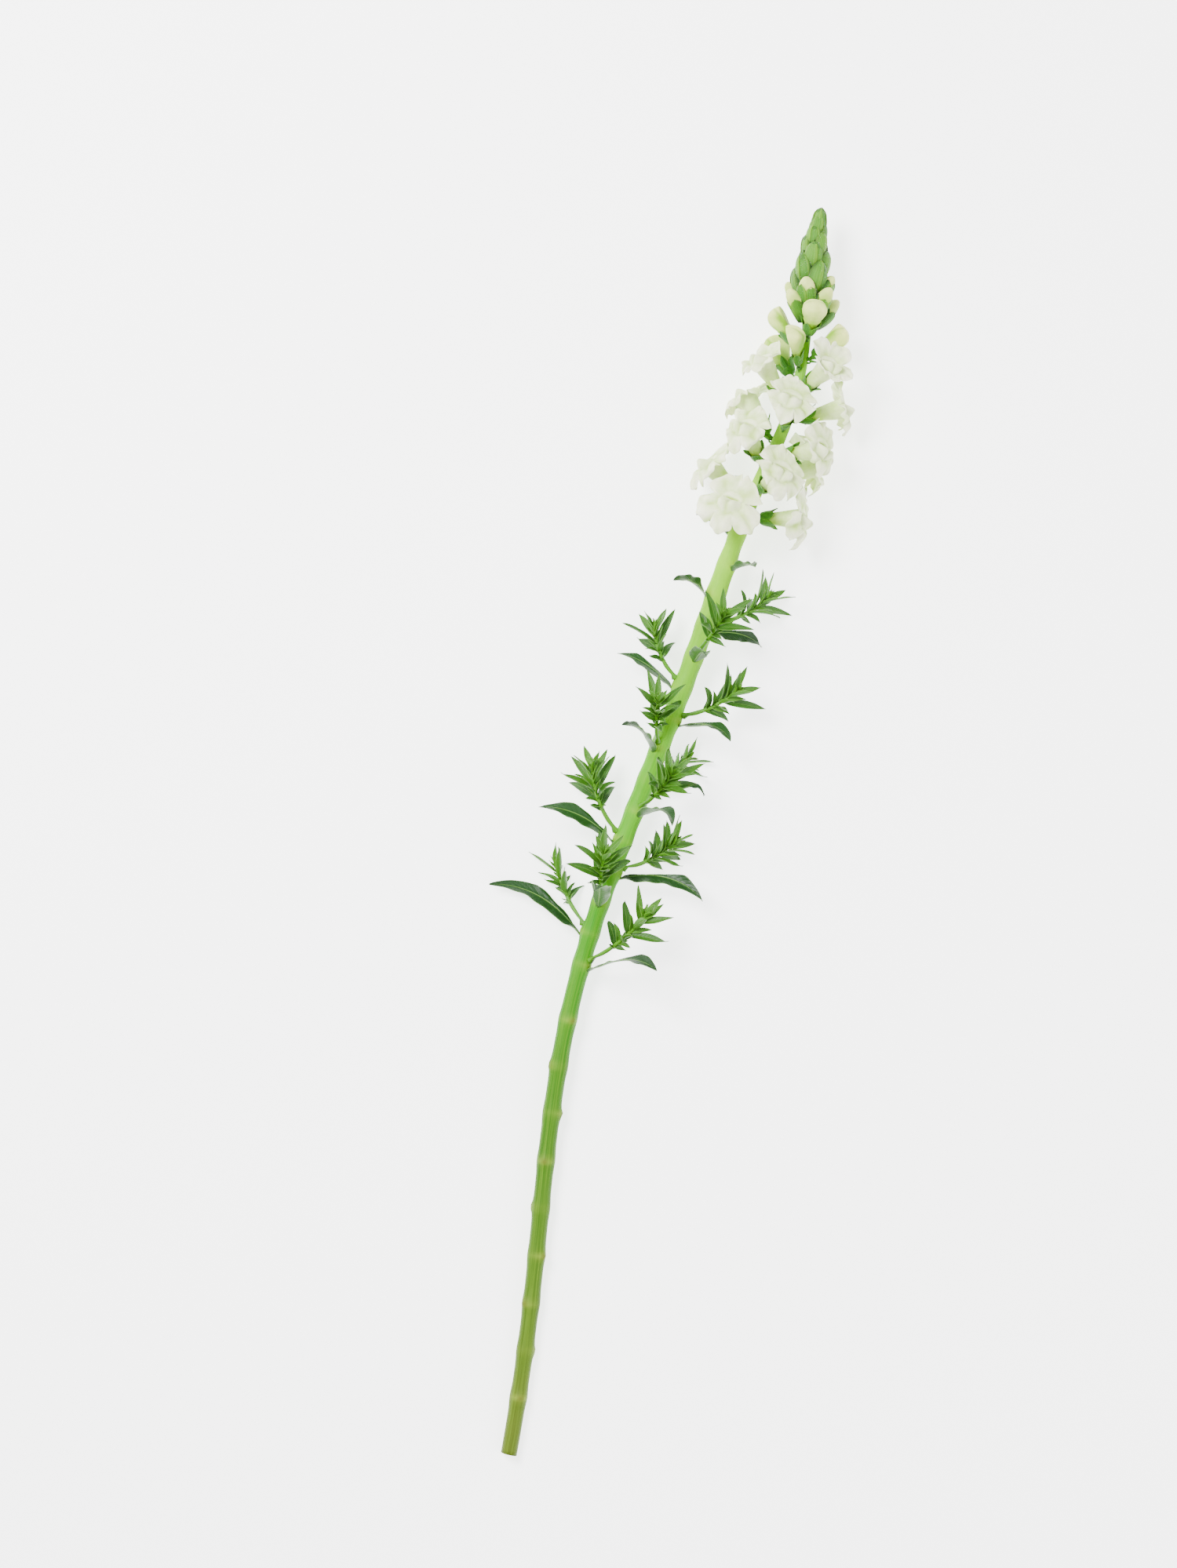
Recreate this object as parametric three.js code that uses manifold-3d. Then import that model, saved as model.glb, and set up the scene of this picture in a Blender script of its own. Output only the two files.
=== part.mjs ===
// A cut snapdragon stem lying on a surface: a bowed stalk, leaves with a leafy side shoot in each axil,
// and a spike of two-lipped flowers, pale buds and a cone of green buds. Millimetres; +Y runs from the
// cut end to the tip and +Z is up. A place along the stem is given as t, from 0 at the cut end to 1 at
// the tip. An azimuth turns round the stalk in degrees: 0 is straight up, and positive is towards +X.
import * as THREE from "three";
import { mergeVertices } from "three/addons/utils/BufferGeometryUtils.js";
import Module from "manifold-3d";

const wasm = await Module();
wasm.setup();

// ---------------------------------------------------------------- driving dimensions

const stalk = {
  length: 760,
  sides: 8,
  radii: [[0, 4.8], [0.36, 5.2], [0.7, 5.8], [0.75, 4.6], [0.86, 3.4], [0.92, 2.6], [1, 1.2]],
  bows: [{ x: -31, at: 0.36, spread: 0.25 }, { x: 13, at: 0.86, spread: 0.09 }],
  rise: 21,          // how far the tip end is held off the surface by the flowers under it
  flatUntil: 0.03,   // the cut end lies flat this far
  swelling: 0.45,    // how far a joint stands out
};
const bareJoints = { count: 9, from: 0.045, step: 0.037, azimuth: 20 };
const leafyJoints = { count: 15, from: 0.385, step: 0.0253, azimuth: 75, shoots: 12 };
const spike = {
  flowers: 12, flowersFrom: 0.744, flowerStep: 0.0102,
  buds: 5, budsFrom: 0.866, budStep: 0.008,
  looseBuds: 6, looseFrom: 0.905, looseStep: 0.0034,
  coneBuds: 17, coneFrom: 0.927, coneTo: 0.983,
  azimuth: -28,
  headFrom: 0.9,   // the head of green buds is its own piece from here on
};
const headCore = [[0.9, 2.6], [0.92, 4], [0.938, 6.6], [0.956, 6.6], [0.972, 4.6], [0.984, 2.2]];
const goldenAngle = 137.5;
const turnShare = 0.7;        // all azimuths are drawn in to this share, since the stem lies on its underside

const corolla = { base: 1.6, tube: 24, mouth: 6.6, sheet: 0.7, samples: 24 };
const tubeRings = [[8, 4.2], [17, 5.8]];   // distance from the base and radius
const budRings = [[8, 4.2], [14, 7.1], [19, 8.8], [23.6, 6.6]];
const budLength = 26;
const lobes = [   // in degrees round the mouth, where 90 is the middle of the upper lip
  { from: 15, to: 90, reach: 20.5, cleftFrom: 9.5, cleftTo: 13.5 },
  { from: 90, to: 165, reach: 20.5, cleftFrom: 13.5, cleftTo: 9.5 },
  { from: 165, to: 240, reach: 17.5, cleftFrom: 9.5, cleftTo: 11 },
  { from: 240, to: 300, reach: 15.5, cleftFrom: 11, cleftTo: 11 },
  { from: 300, to: 375, reach: 17.5, cleftFrom: 11, cleftTo: 9.5 },
];
const palate = { height: 4.5, apart: 3.4, drop: 2.4, width: 3.6 };
const calyx = { sepals: 5, cleft: 4.6, tip: 9.6, thickness: 0.8, pedicel: 4, pedicelRadius: 1.3 };
const blade = { thickness: 0.9, fold: 24 };
const clear = 0.3;            // gap between neighbouring solids
const settle = 0.45;          // whatever is lower than this rests on the surface
const seated = 0.2;           // gap between the foot of a leaf or side shoot and the stalk
const footing = { leaf: 0.8, shoot: 1.25 };   // where the first section past the foot is
const nested = 1.5;           // a petal tube's distance from the walls of its room, inside its calyx
const roomDirections = 420;
const shortestEdge = 0.012;
const bladePress = 1;         // a blade may reach this far past a wall before bending
const lipPress = 3;
const shootClear = 2;         // a side shoot's stalk ends this far short of a wall

// ---------------------------------------------------------------- small helpers

const rad = Math.PI / 180;
const mix = (a, b, share) => a + (b - a) * share;
const limit = (value) => Math.min(1, Math.max(0, value));
const vec = (x, y, z) => new THREE.Vector3(x, y, z);
const sum = (start, ...terms) => {
  const total = start.clone();
  for (const [direction, amount] of terms) total.addScaledVector(direction, amount);
  return total;
};

// A repeatable draw between 0 and 1 for piece number n.
function draw(n, salt) {
  const wave = Math.sin(n * 12.9898 + salt * 78.233) * 43758.5453;
  return wave - Math.floor(wave);
}

function azimuthOf(start, n) {
  const turned = (start + n * goldenAngle) % 360;
  return (turned > 180 ? turned - 360 : turned) * turnShare;
}

function alongProfile(pairs, at) {
  const next = pairs.findIndex(([place]) => place >= at);
  if (next <= 0) return next === 0 ? pairs[0][1] : pairs[pairs.length - 1][1];
  const [[a, low], [b, high]] = [pairs[next - 1], pairs[next]];
  return mix(low, high, (at - a) / (b - a));
}

// ---------------------------------------------------------------- closed surfaces and fusing

// Rings of equal length with a pole at each end. flipped(band, column) says which way a quad is split.
function closedSurface(rings, startPole, endPole, flipped = () => false) {
  const count = rings[0].length;
  const points = [startPole, ...rings.flat(), endPole];
  const at = (ring, column) => 1 + ring * count + (column % count);
  const faces = [];
  for (let j = 0; j < count; j++) {
    faces.push([0, at(0, j + 1), at(0, j)]);
    faces.push([points.length - 1, at(rings.length - 1, j), at(rings.length - 1, j + 1)]);
  }
  for (let i = 0; i + 1 < rings.length; i++) {
    for (let j = 0; j < count; j++) {
      const [a, b, c, d] = [at(i, j), at(i, j + 1), at(i + 1, j + 1), at(i + 1, j)];
      faces.push(...(flipped(i, j) ? [[a, b, d], [b, c, d]] : [[a, b, c], [a, c, d]]));
    }
  }
  const geometry = new THREE.BufferGeometry();
  geometry.setAttribute("position", new THREE.Float32BufferAttribute(points.flatMap((p) => p.toArray()), 3));
  geometry.setIndex(isInsideOut(points, faces) ? faces.flatMap(([a, b, c]) => [a, c, b]) : faces.flat());
  return geometry;
}

function isInsideOut(points, faces) {
  let volume = 0;
  for (const [a, b, c] of faces) volume += points[a].dot(points[b].clone().cross(points[c]));
  return volume < 0;
}

function fuse(geometries) {
  const solids = geometries.map((geometry) => {
    const welded = mergeVertices(geometry, 1e-5);
    return new wasm.Manifold(new wasm.Mesh({
      numProp: 3,
      vertProperties: new Float32Array(welded.attributes.position.array),
      triVerts: new Uint32Array(welded.index.array),
    }));
  });
  const mesh = solids.reduce((whole, solid) => whole.add(solid)).getMesh();
  const geometry = new THREE.BufferGeometry();
  geometry.setAttribute("position", new THREE.Float32BufferAttribute(mesh.vertProperties, 3));
  geometry.setIndex(outerShell(withoutShortEdges(mesh.triVerts, mesh.vertProperties)));
  return mergeVertices(geometry, 0);
}

// Groups of corners that are joined in pairs: root gives the one that stands for a corner's group.
function corners(count) {
  const parent = Array.from({ length: count }, (_, corner) => corner);
  const root = (corner) => {
    while (parent[corner] !== corner) corner = parent[corner] = parent[parent[corner]];
    return corner;
  };
  return { root, join: (a, b) => { parent[root(a)] = root(b); } };
}

// Closes the very short edges that fusing leaves, and drops the faces that close with them.
function withoutShortEdges(index, places) {
  const groups = corners(places.length / 3);
  const point = (corner) => vec(...places.slice(3 * corner, 3 * corner + 3));
  const faces = Array.from({ length: index.length / 3 }, (_, n) => Array.from(index.slice(3 * n, 3 * n + 3)));
  for (const [a, b, c] of faces) {
    for (const [one, other] of [[a, b], [b, c], [c, a]]) {
      if (point(one).distanceTo(point(other)) < shortestEdge) groups.join(one, other);
    }
  }
  const closed = faces.map((face) => face.map(groups.root));
  return closed.filter(([a, b, c]) => a !== b && b !== c && c !== a);
}

// The largest connected shell of faces. What is left out is the small hollows that fusing seals.
function outerShell(faces) {
  const groups = corners(faces.reduce((most, face) => Math.max(most, ...face), 0) + 1);
  for (const [a, b, c] of faces) {
    groups.join(a, b);
    groups.join(b, c);
  }
  const shells = new Map();
  for (const face of faces) {
    const shell = groups.root(face[0]);
    if (!shells.has(shell)) shells.set(shell, []);
    shells.get(shell).push(...face);
  }
  return [...shells.values()].sort((a, b) => b.length - a.length)[0];
}

// ---------------------------------------------------------------- the stalk's line

const placesOf = ({ count, from, step }) => Array.from({ length: count }, (_, n) => from + n * step);
const bareJointPlaces = placesOf(bareJoints);
const leafyJointPlaces = placesOf(leafyJoints);
const jointPlaces = [...bareJointPlaces, ...leafyJointPlaces];

function stalkRadius(t) {
  const half = leafyJoints.step / 2;
  const swell = jointPlaces.reduce((most, joint) => Math.max(most, 1 - Math.abs(t - joint) / half), 0);
  return alongProfile(stalk.radii, t) + stalk.swelling * swell;
}

function stalkCentre(t) {
  const bowed = (bow) => bow.x * Math.exp(-(((t - bow.at) / bow.spread) ** 2));
  const x = stalk.bows.reduce((total, bow) => total + bowed(bow), 0);
  const lift = Math.max(0, t - stalk.flatUntil) / (1 - stalk.flatUntil);
  const lying = stalk.radii[0][1] * Math.cos(Math.PI / stalk.sides);
  return vec(x, t * stalk.length, lying + stalk.rise * lift ** 1.12);
}

// The stalk's frame at t: where it is, which way it grows, and the upward and sideways directions round it.
function stalkFrame(t) {
  const step = 0.004;
  const along = stalkCentre(t + step).sub(stalkCentre(t - step)).normalize();
  const side = along.clone().cross(vec(0, 0, 1)).normalize();
  const up = side.clone().cross(along);
  return { at: stalkCentre(t), along, up, side };
}

// A place on the stalk's skin, with its outward and crosswise directions.
function stalkSkin(t, azimuth) {
  const frame = stalkFrame(t);
  const out = sum(vec(0, 0, 0), [frame.up, Math.cos(azimuth * rad)], [frame.side, Math.sin(azimuth * rad)]);
  const cross = frame.along.clone().cross(out);
  return { at: sum(frame.at, [out, stalkRadius(t)]), along: frame.along, out, cross };
}

// The same place on the flat side that the skin is cut from there, which lies a little inside it.
function stalkFlat(t, azimuth) {
  const skin = stalkSkin(t, azimuth);
  const between = 360 / stalk.sides;
  const turn = azimuth - between * Math.round(azimuth / between);
  const inside = 1 - Math.cos(0.5 * between * rad) / Math.cos(turn * rad);
  return { ...skin, at: sum(skin.at, [skin.out, -inside * stalkRadius(t)]) };
}

// ---------------------------------------------------------------- room for each piece

// Each leaf, shoot, bud and flower has a convex room of its own, and whatever would leave it is bent
// back inside. Two pieces share one wall, the plane that best parts the balls that stand for them.
const rooms = [];

function addRoom(balls, softness, skin) {
  const walls = [];
  if (skin) walls.push({ normal: skin.out.clone().negate(), reach: -skin.at.dot(skin.out), softness: 1 });
  rooms.push({ balls, softness, walls });
  return rooms[rooms.length - 1];
}

function evenDirections(count) {
  return Array.from({ length: count }, (_, n) => {
    const height = 1 - (2 * n + 1) / count;
    const ring = Math.sqrt(1 - height * height);
    return vec(ring * Math.cos(n * goldenAngle * rad), ring * Math.sin(n * goldenAngle * rad), height);
  });
}

function raiseWalls() {
  const directions = evenDirections(roomDirections);
  const nearby = 14;
  rooms.forEach((one, index) => {
    for (const other of rooms.slice(index + 1)) {
      const gap = (a, b) => a.at.distanceTo(b.at) - a.r - b.r;
      const gaps = one.balls.flatMap((a) => other.balls.map((b) => gap(a, b)));
      if (Math.min(...gaps) > nearby) continue;
      let best = { gap: -Infinity };
      for (const normal of directions) {
        const near = Math.max(...one.balls.map((ball) => ball.at.dot(normal) + ball.r));
        const far = Math.min(...other.balls.map((ball) => ball.at.dot(normal) - ball.r));
        if (far - near > best.gap) best = { gap: far - near, normal, reach: (near + far) / 2 };
      }
      one.walls.push({ normal: best.normal, reach: best.reach, softness: one.softness });
      const opposite = best.normal.clone().negate();
      other.walls.push({ normal: opposite, reach: -best.reach, softness: other.softness });
    }
  });
}

// Moves a point inside its room, easing off as it nears a wall, and keeps it above the surface that the
// stem lies on.
function bend(point, room, margin, lowest = 0) {
  const p = point.clone();
  for (let pass = 0; pass < 3; pass++) {
    for (const wall of room.walls) {
      const height = wall.reach - p.dot(wall.normal) - margin;
      if (height >= wall.softness) continue;
      const eased = wall.softness * Math.exp(height / wall.softness - 1);
      p.addScaledVector(wall.normal, height - eased);
    }
    p.z = Math.max(p.z, lowest);
  }
  return p;
}

// What comes very near the surface lies flat on it.
const onTable = (point) => vec(point.x, point.y, point.z < settle ? 0 : point.z);

// How far something may grow from a place in a direction before it is pressed hard against a wall or
// the surface.
function fittingLength(length, at, direction, room, press) {
  const table = { normal: vec(0, 0, -1), reach: 0 };
  return [...room.walls, table].reduce((most, wall) => {
    const towards = direction.dot(wall.normal);
    const pressed = Math.max(0, wall.reach - at.dot(wall.normal)) + press;
    return towards > 0.1 ? Math.min(most, pressed / towards) : most;
  }, length);
}

// ---------------------------------------------------------------- blades: leaves, bracts and shoot leaves

// The line down a blade's middle. It leaves the stalk at one angle and curls over to another, turning
// sideways, and twists to bring its upper face up to the light.
function bladeLine(root, shape, share) {
  const steps = 12;
  const at = root.at.clone();
  let direction;
  let upper;
  for (let n = 0; n <= steps; n++) {
    const s = (share * n) / steps;
    const yaw = shape.yaw * s * rad;
    const out = sum(vec(0, 0, 0), [root.out, Math.cos(yaw)], [root.cross, Math.sin(yaw)]);
    const angle = mix(shape.leave, shape.curl, s ** 1.2) * rad;
    direction = sum(vec(0, 0, 0), [root.along, Math.cos(angle)], [out, Math.sin(angle)]);
    upper = sum(vec(0, 0, 0), [root.along, Math.sin(angle)], [out, -Math.cos(angle)]);
    if (n < steps) at.addScaledVector(direction, (shape.length * share) / steps);
  }
  const across = direction.clone().cross(upper);
  const turn = shape.twist * rad * across.z * limit(share * 6);
  return {
    at,
    along: direction,
    upper: sum(vec(0, 0, 0), [upper, Math.cos(turn)], [across, Math.sin(turn)]),
    across: sum(vec(0, 0, 0), [across, Math.cos(turn)], [upper, -Math.sin(turn)]),
  };
}

function bladeHalfWidth(shape, s) {
  const leafy = Math.sin(Math.PI * s ** shape.belly) ** 0.85;
  return 0.5 * shape.width * Math.max(leafy, 0.2 * (1 - s));
}

// One four-cornered section of a folded blade, bent into its room: left edge, top, right edge and underside.
function bladeSection(line, width, wave, room) {
  const half = blade.thickness / 2;
  const spread = width * Math.cos(blade.fold * rad);
  const raised = width * Math.sin(blade.fold * rad);
  const place = (point) => (room ? bend(point, room, half + clear, half) : point);
  const middle = place(line.at);
  const left = place(sum(line.at, [line.across, -spread], [line.upper, raised + wave]));
  const right = place(sum(line.at, [line.across, spread], [line.upper, raised - wave]));
  const ahead = place(sum(line.at, [line.along, 1])).sub(middle);
  const upper = right.clone().sub(left).cross(ahead).normalize();
  return [left, sum(middle, [upper, half]), right, sum(middle, [upper, -half])].map(onTable);
}

// A blade that starts from a foot on or in the stalk. Its first section isn't bent.
function bladeSolid(root, shape, room, stations, foot) {
  const rings = stations.map((s, index) => {
    const wave = shape.wave * Math.sin(s * 9 + shape.yaw) * limit(s * 3);
    const place = index ? room : null;
    return bladeSection(bladeLine(root, shape, s), bladeHalfWidth(shape, s), wave, place);
  });
  return closedSurface(rings, foot, bladeEnd(root, shape, room), (band, column) => column % 2 === 1);
}

function bladeEnd(root, shape, room) {
  const half = blade.thickness / 2;
  return bend(bladeLine(root, shape, 1).at, room, half + clear, half);
}

function bladeBalls(root, shape, shares, radius) {
  return shares.map((s) => ({ at: bladeLine(root, shape, s).at, r: radius * (s === 0 ? 0.5 : 1) }));
}

// ---------------------------------------------------------------- stem leaves and side shoots

const leafPlans = leafyJointPlaces.map((t, n) => {
  const grade = n / (leafyJoints.count - 1);
  const skin = stalkFlat(t - 0.004, azimuthOf(leafyJoints.azimuth, n));
  const shape = {
    length: mix(64, 23, grade ** 1.1) * mix(0.9, 1.1, draw(n, 1)),
    width: mix(14, 11.5, grade),
    belly: mix(0.75, 0.62, grade),
    leave: mix(52, 62, draw(n, 2)),
    curl: mix(104, 128, draw(n, 3)),
    yaw: mix(-32, 32, draw(n, 4)),
    twist: mix(35, 75, draw(n, 14)),
    wave: 0.7,
  };
  const root = { ...skin, at: sum(skin.at, [skin.out, footing.leaf]) };
  const foot = sum(skin.at, [skin.out, seated]);
  const balls = bladeBalls(root, shape, [0, 0.2, 0.45, 0.7, 0.9], 4);
  return { root, foot, shape, room: addRoom(balls, 2.5, skin) };
});

const shootPlans = leafyJointPlaces.slice(0, leafyJoints.shoots).map((t, n) => {
  const skin = stalkFlat(t + 0.005, azimuthOf(leafyJoints.azimuth, n) + mix(-8, 8, draw(n, 5)));
  const line = {
    length: mix(36, 48, draw(n, 6)) * mix(1, 0.7, n / leafyJoints.shoots),
    leave: mix(52, 60, draw(n, 7)),
    curl: mix(18, 34, draw(n, 8)),
    yaw: mix(-14, 14, draw(n, 9)),
    twist: 0,
  };
  const root = { ...skin, at: sum(skin.at, [skin.out, footing.shoot]) };
  const foot = sum(skin.at, [skin.out, seated]);
  const balls = [[0, 2], [0.3, 5], [0.6, 8], [0.9, 9], [1.15, 8]].map(([s, r]) => ({
    at: bladeLine(root, line, s).at, r,
  }));
  return { root, foot, line, n, pairs: n < leafyJoints.shoots / 2 ? 6 : 5, room: addRoom(balls, 2.5, skin) };
});

// The line of a side shoot, shortened where it would run into a wall or the surface.
function shootLine({ root, line, room }) {
  const lean = (line.leave + line.curl) * 0.5 * rad;
  const heading = sum(vec(0, 0, 0), [root.along, Math.cos(lean)], [root.out, Math.sin(lean)]);
  return { ...line, length: fittingLength(line.length, root.at, heading, room, -shootClear) };
}

function shootGeometry(plan) {
  const { root, foot, room } = plan;
  const line = shootLine(plan);
  const sides = 4;
  const stations = [0, 0.35, 0.7, 1];
  const rings = stations.map((s) => {
    const here = bladeLine(root, line, s);
    const r = mix(1.5, 0.9, s);
    return Array.from({ length: sides }, (_, j) => {
      const turn = (2 * Math.PI * j) / sides;
      const point = sum(here.at, [here.across, r * Math.cos(turn)], [here.upper, r * Math.sin(turn)]);
      return s ? onTable(bend(point, room, clear)) : point;
    });
  });
  const end = onTable(bend(bladeLine(root, line, 1.03).at, room, clear));
  const pieces = [closedSurface(rings, foot, end)];
  for (let pair = 0; pair < plan.pairs; pair++) pieces.push(leafPair({ ...plan, line }, pair));
  return fuse(pieces);
}

// Two opposite leaves of a side shoot as one solid that runs through its stalk. Each pair is a quarter
// turn on.
function leafPair({ root, line, room, n, pairs }, pair) {
  const up = pair / (pairs - 1);
  const here = bladeLine(root, line, mix(0.4, 0.98, up));
  const { along } = here;
  const stations = pair < pairs - 2 ? [0.36, 0.72] : [0.5];
  const leaf = (side) => {
    const turn = (90 * pair + 180 * side + 45 + 30 * draw(n, 15)) * rad;
    const out = sum(vec(0, 0, 0), [here.across, Math.cos(turn)], [here.upper, Math.sin(turn)]);
    const number = n * 20 + pair * 2 + side;
    const [leave, curl] = [mix(46, 38, up), mix(98, 30, up) + mix(-10, 10, draw(number, 12))];
    const lean = (leave + curl) * 0.5 * rad;
    const heading = sum(vec(0, 0, 0), [along, Math.cos(lean)], [out, Math.sin(lean)]);
    const grown = (12 + 13 * Math.sin(Math.PI * mix(0.12, 0.92, up))) * mix(0.88, 1.15, draw(number, 11));
    const length = fittingLength(grown, here.at, heading, room, bladePress);
    return {
      root: { at: here.at, along, out, cross: along.clone().cross(out) },
      shape: {
        length,
        width: Math.min(mix(6.4, 4.4, up), 0.32 * length),
        belly: 0.8,
        leave,
        curl,
        yaw: mix(-22, 22, draw(number, 23)),
        twist: 55,
        wave: 0,
      },
    };
  };
  const [near, far] = [leaf(0), leaf(1)];
  const side = ({ root: foot, shape }) => stations.map((s) =>
    bladeSection(bladeLine(foot, shape, s), bladeHalfWidth(shape, s), 0, room));
  const mirrored = ([left, top, right, bottom]) => [right, top, left, bottom];
  const across = far.root.cross.clone().negate();
  const centre = bladeSection({ at: here.at, along: far.root.out, across, upper: along }, 0.5, 0, room);
  const rings = [...side(near).reverse().map(mirrored), centre, ...side(far)];
  const tip = ({ root: foot, shape }) => bladeEnd(foot, shape, room);
  return closedSurface(rings, tip(near), tip(far), (band, column) => column % 2 === 1);
}

// ---------------------------------------------------------------- flowers, buds and their calyces

// A flower's own frame: origin at the foot of the calyx, axis down the tube, up towards the upper lip.
function bloomFrame(t, azimuth, lean, pedicel) {
  const skin = stalkSkin(t, azimuth);
  const axis = sum(vec(0, 0, 0), [skin.along, Math.cos(lean * rad)], [skin.out, Math.sin(lean * rad)]);
  const up = sum(vec(0, 0, 0), [skin.along, Math.sin(lean * rad)], [skin.out, -Math.cos(lean * rad)]);
  const side = up.clone().cross(axis);
  const rise = sum(vec(0, 0, 0), [axis, 0.6], [skin.out, 0.4]).normalize();
  const bract = mix(16, 8, limit((t - 0.74) / 0.13));
  return { skin, axis, up, side, rise, bract, at: sum(skin.at, [rise, pedicel]) };
}

const inBloom = (frame, u, v, w) => sum(frame.at, [frame.side, u], [frame.up, v], [frame.axis, w]);

const flowerBalls = [
  [0, 0, -2, 4.5], [0, 0, 5, 6.5], [0, 0, 14, 6.5], [0, 0, 25, 8],
  [0, 11, 24, 8], [8, 4, 24, 8], [-8, 4, 24, 8], [0, -8, 23, 7],
];
const flowerPlans = Array.from({ length: spike.flowers }, (_, n) => {
  const azimuth = azimuthOf(spike.azimuth, n);
  const low = limit((Math.abs(azimuth) - 95) / 40);
  const lean = mix(mix(68, 50, n / spike.flowers), 34, low) + mix(-5, 5, draw(n, 21));
  const frame = bloomFrame(spike.flowersFrom + n * spike.flowerStep, azimuth, lean, calyx.pedicel);
  const open = n < spike.flowers - 2 ? 1 : mix(0.75, 0.5, n - spike.flowers + 2);
  const balls = flowerBalls.map(([u, v, w, r]) => ({ at: inBloom(frame, u, v, w), r }));
  return { n, frame, open, size: mix(1.1, 0.92, n / spike.flowers), room: addRoom(balls, 3.5, frame.skin) };
});

const budPlans = Array.from({ length: spike.buds }, (_, n) => {
  const rank = spike.flowers + n;
  const frame = bloomFrame(spike.budsFrom + n * spike.budStep, azimuthOf(spike.azimuth, rank),
    mix(46, 36, n / spike.buds), calyx.pedicel * 0.9);
  const size = mix(0.98, 0.8, n / spike.buds);
  const balls = [[-2, 4.5], [5, 6.5], [12, 7], [19, 8]].map(([w, r]) => ({
    at: inBloom(frame, 0, 0, w * size), r: r * size,
  }));
  return { n, frame, size, room: addRoom(balls, 3, frame.skin) };
});

function lobeReach(degrees) {
  const angle = ((degrees - 15 + 720) % 360) + 15;
  const lobe = lobes.find(({ to }) => angle <= to);
  const across = (2 * angle - lobe.from - lobe.to) / (lobe.to - lobe.from);
  const cleft = mix(lobe.cleftFrom, lobe.cleftTo, (across + 1) / 2);
  return cleft + (lobe.reach - cleft) * (1 - Math.abs(across) ** 2.6) ** 0.6;
}

// A point on the middle of a flower's lips: share runs from the mouth to the lobe's edge.
function lipPoint(flower, share, degrees) {
  const { open, size, n, frame, room } = flower;
  const angle = degrees * rad;
  const heading = sum(vec(0, 0, 0), [frame.side, Math.cos(angle)], [frame.up, Math.sin(angle)]);
  const face = inBloom(frame, 0, 0, corolla.base + corolla.tube);
  const spread = corolla.mouth + (lobeReach(degrees) * size - corolla.mouth) * mix(0.5, 1, open);
  const reach = fittingLength(spread, face, heading, room, lipPress);
  const r = mix(corolla.mouth, reach, share);
  const lift = Math.sin(angle);
  const fold = lift > 0 ? mix(0.42, 0.18, lift) : mix(0.42, 0.8, -lift);
  const swell = 1.4 + 1.6 * Math.max(0, -lift);
  const ruffle = 1.25 * open * share ** 2 * Math.sin(5 * angle + 6 * draw(n, 22));
  const width = reach - corolla.mouth;
  const bent = width * (1.1 * (1 - open) * share - fold * open * share ** 2);
  const raised = swell * Math.sin((Math.min(1, 2 * share) * Math.PI) / 2);
  const w = corolla.base + corolla.tube + raised + bent + ruffle;
  return inBloom(frame, r * Math.cos(angle), r * Math.sin(angle), w);
}

function palatePoint(flower, r, degrees) {
  const [u, v] = [r * Math.cos(degrees * rad), r * Math.sin(degrees * rad)];
  const away = (side) => (u - side * palate.apart) ** 2 + (v + palate.drop) ** 2;
  const hump = (side) => Math.exp(-away(side) / palate.width ** 2);
  const w = corolla.base + corolla.tube + 1 + palate.height * (hump(1) + hump(-1));
  return inBloom(flower.frame, u, v, w);
}

function flowerGeometry(flower) {
  const { frame, room } = flower;
  const half = corolla.sheet / 2;
  const degrees = Array.from({ length: corolla.samples }, (_, j) => (360 * j) / corolla.samples);
  const round = (w, r) => degrees.map((d) =>
    bend(inBloom(frame, r * Math.cos(d * rad), r * Math.sin(d * rad), corolla.base + w), room, nested));
  const lip = (share, face) => degrees.map((d) => {
    const at = (s, angle) => bend(lipPoint(flower, s, angle), room, half + clear, half);
    const ahead = at(share, d + 10).sub(at(share, d - 10));
    const outward = at(Math.min(1, share + 0.2), d).sub(at(Math.max(0, share - 0.2), d));
    return sum(at(share, d), [outward.cross(ahead).normalize(), face * half]);
  });
  const throat = degrees.map((d) => bend(palatePoint(flower, 4.2, d), room, nested));
  const rings = [
    ...tubeRings.map(([w, r]) => round(w, r)),
    lip(0.12, -1), lip(0.55, -1), lip(1, -1), lip(1, 1), lip(0.55, 1), lip(0.12, 1),
    throat,
  ].map((ring) => ring.map(onTable));
  const backBands = tubeRings.length + 2;
  const base = bend(inBloom(frame, 0, 0, corolla.base), room, nested);
  const centre = bend(palatePoint(flower, 0, 0), room, nested);
  return closedSurface(rings, base, centre, (band) => band > backBands);
}

function budGeometry({ frame, size, room }) {
  const sides = 12;
  const rings = budRings.map(([w, r], index) => Array.from({ length: sides }, (_, j) => {
    const angle = (2 * Math.PI * j) / sides;
    const crease = index > 1 ? 1 - 0.1 * Math.abs(Math.sin(angle)) ** 3 : 1;
    const scale = index > 1 ? size : Math.min(1, size + 0.1);
    const point = inBloom(frame, r * scale * Math.cos(angle), r * scale * crease * Math.sin(angle),
      corolla.base + w * size);
    return onTable(bend(point, room, nested));
  }));
  const base = bend(inBloom(frame, 0, 0, corolla.base), room, nested);
  const tip = bend(inBloom(frame, 0, 0.6, corolla.base + budLength * size), room, nested);
  return closedSurface(rings, base, tip);
}

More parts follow.
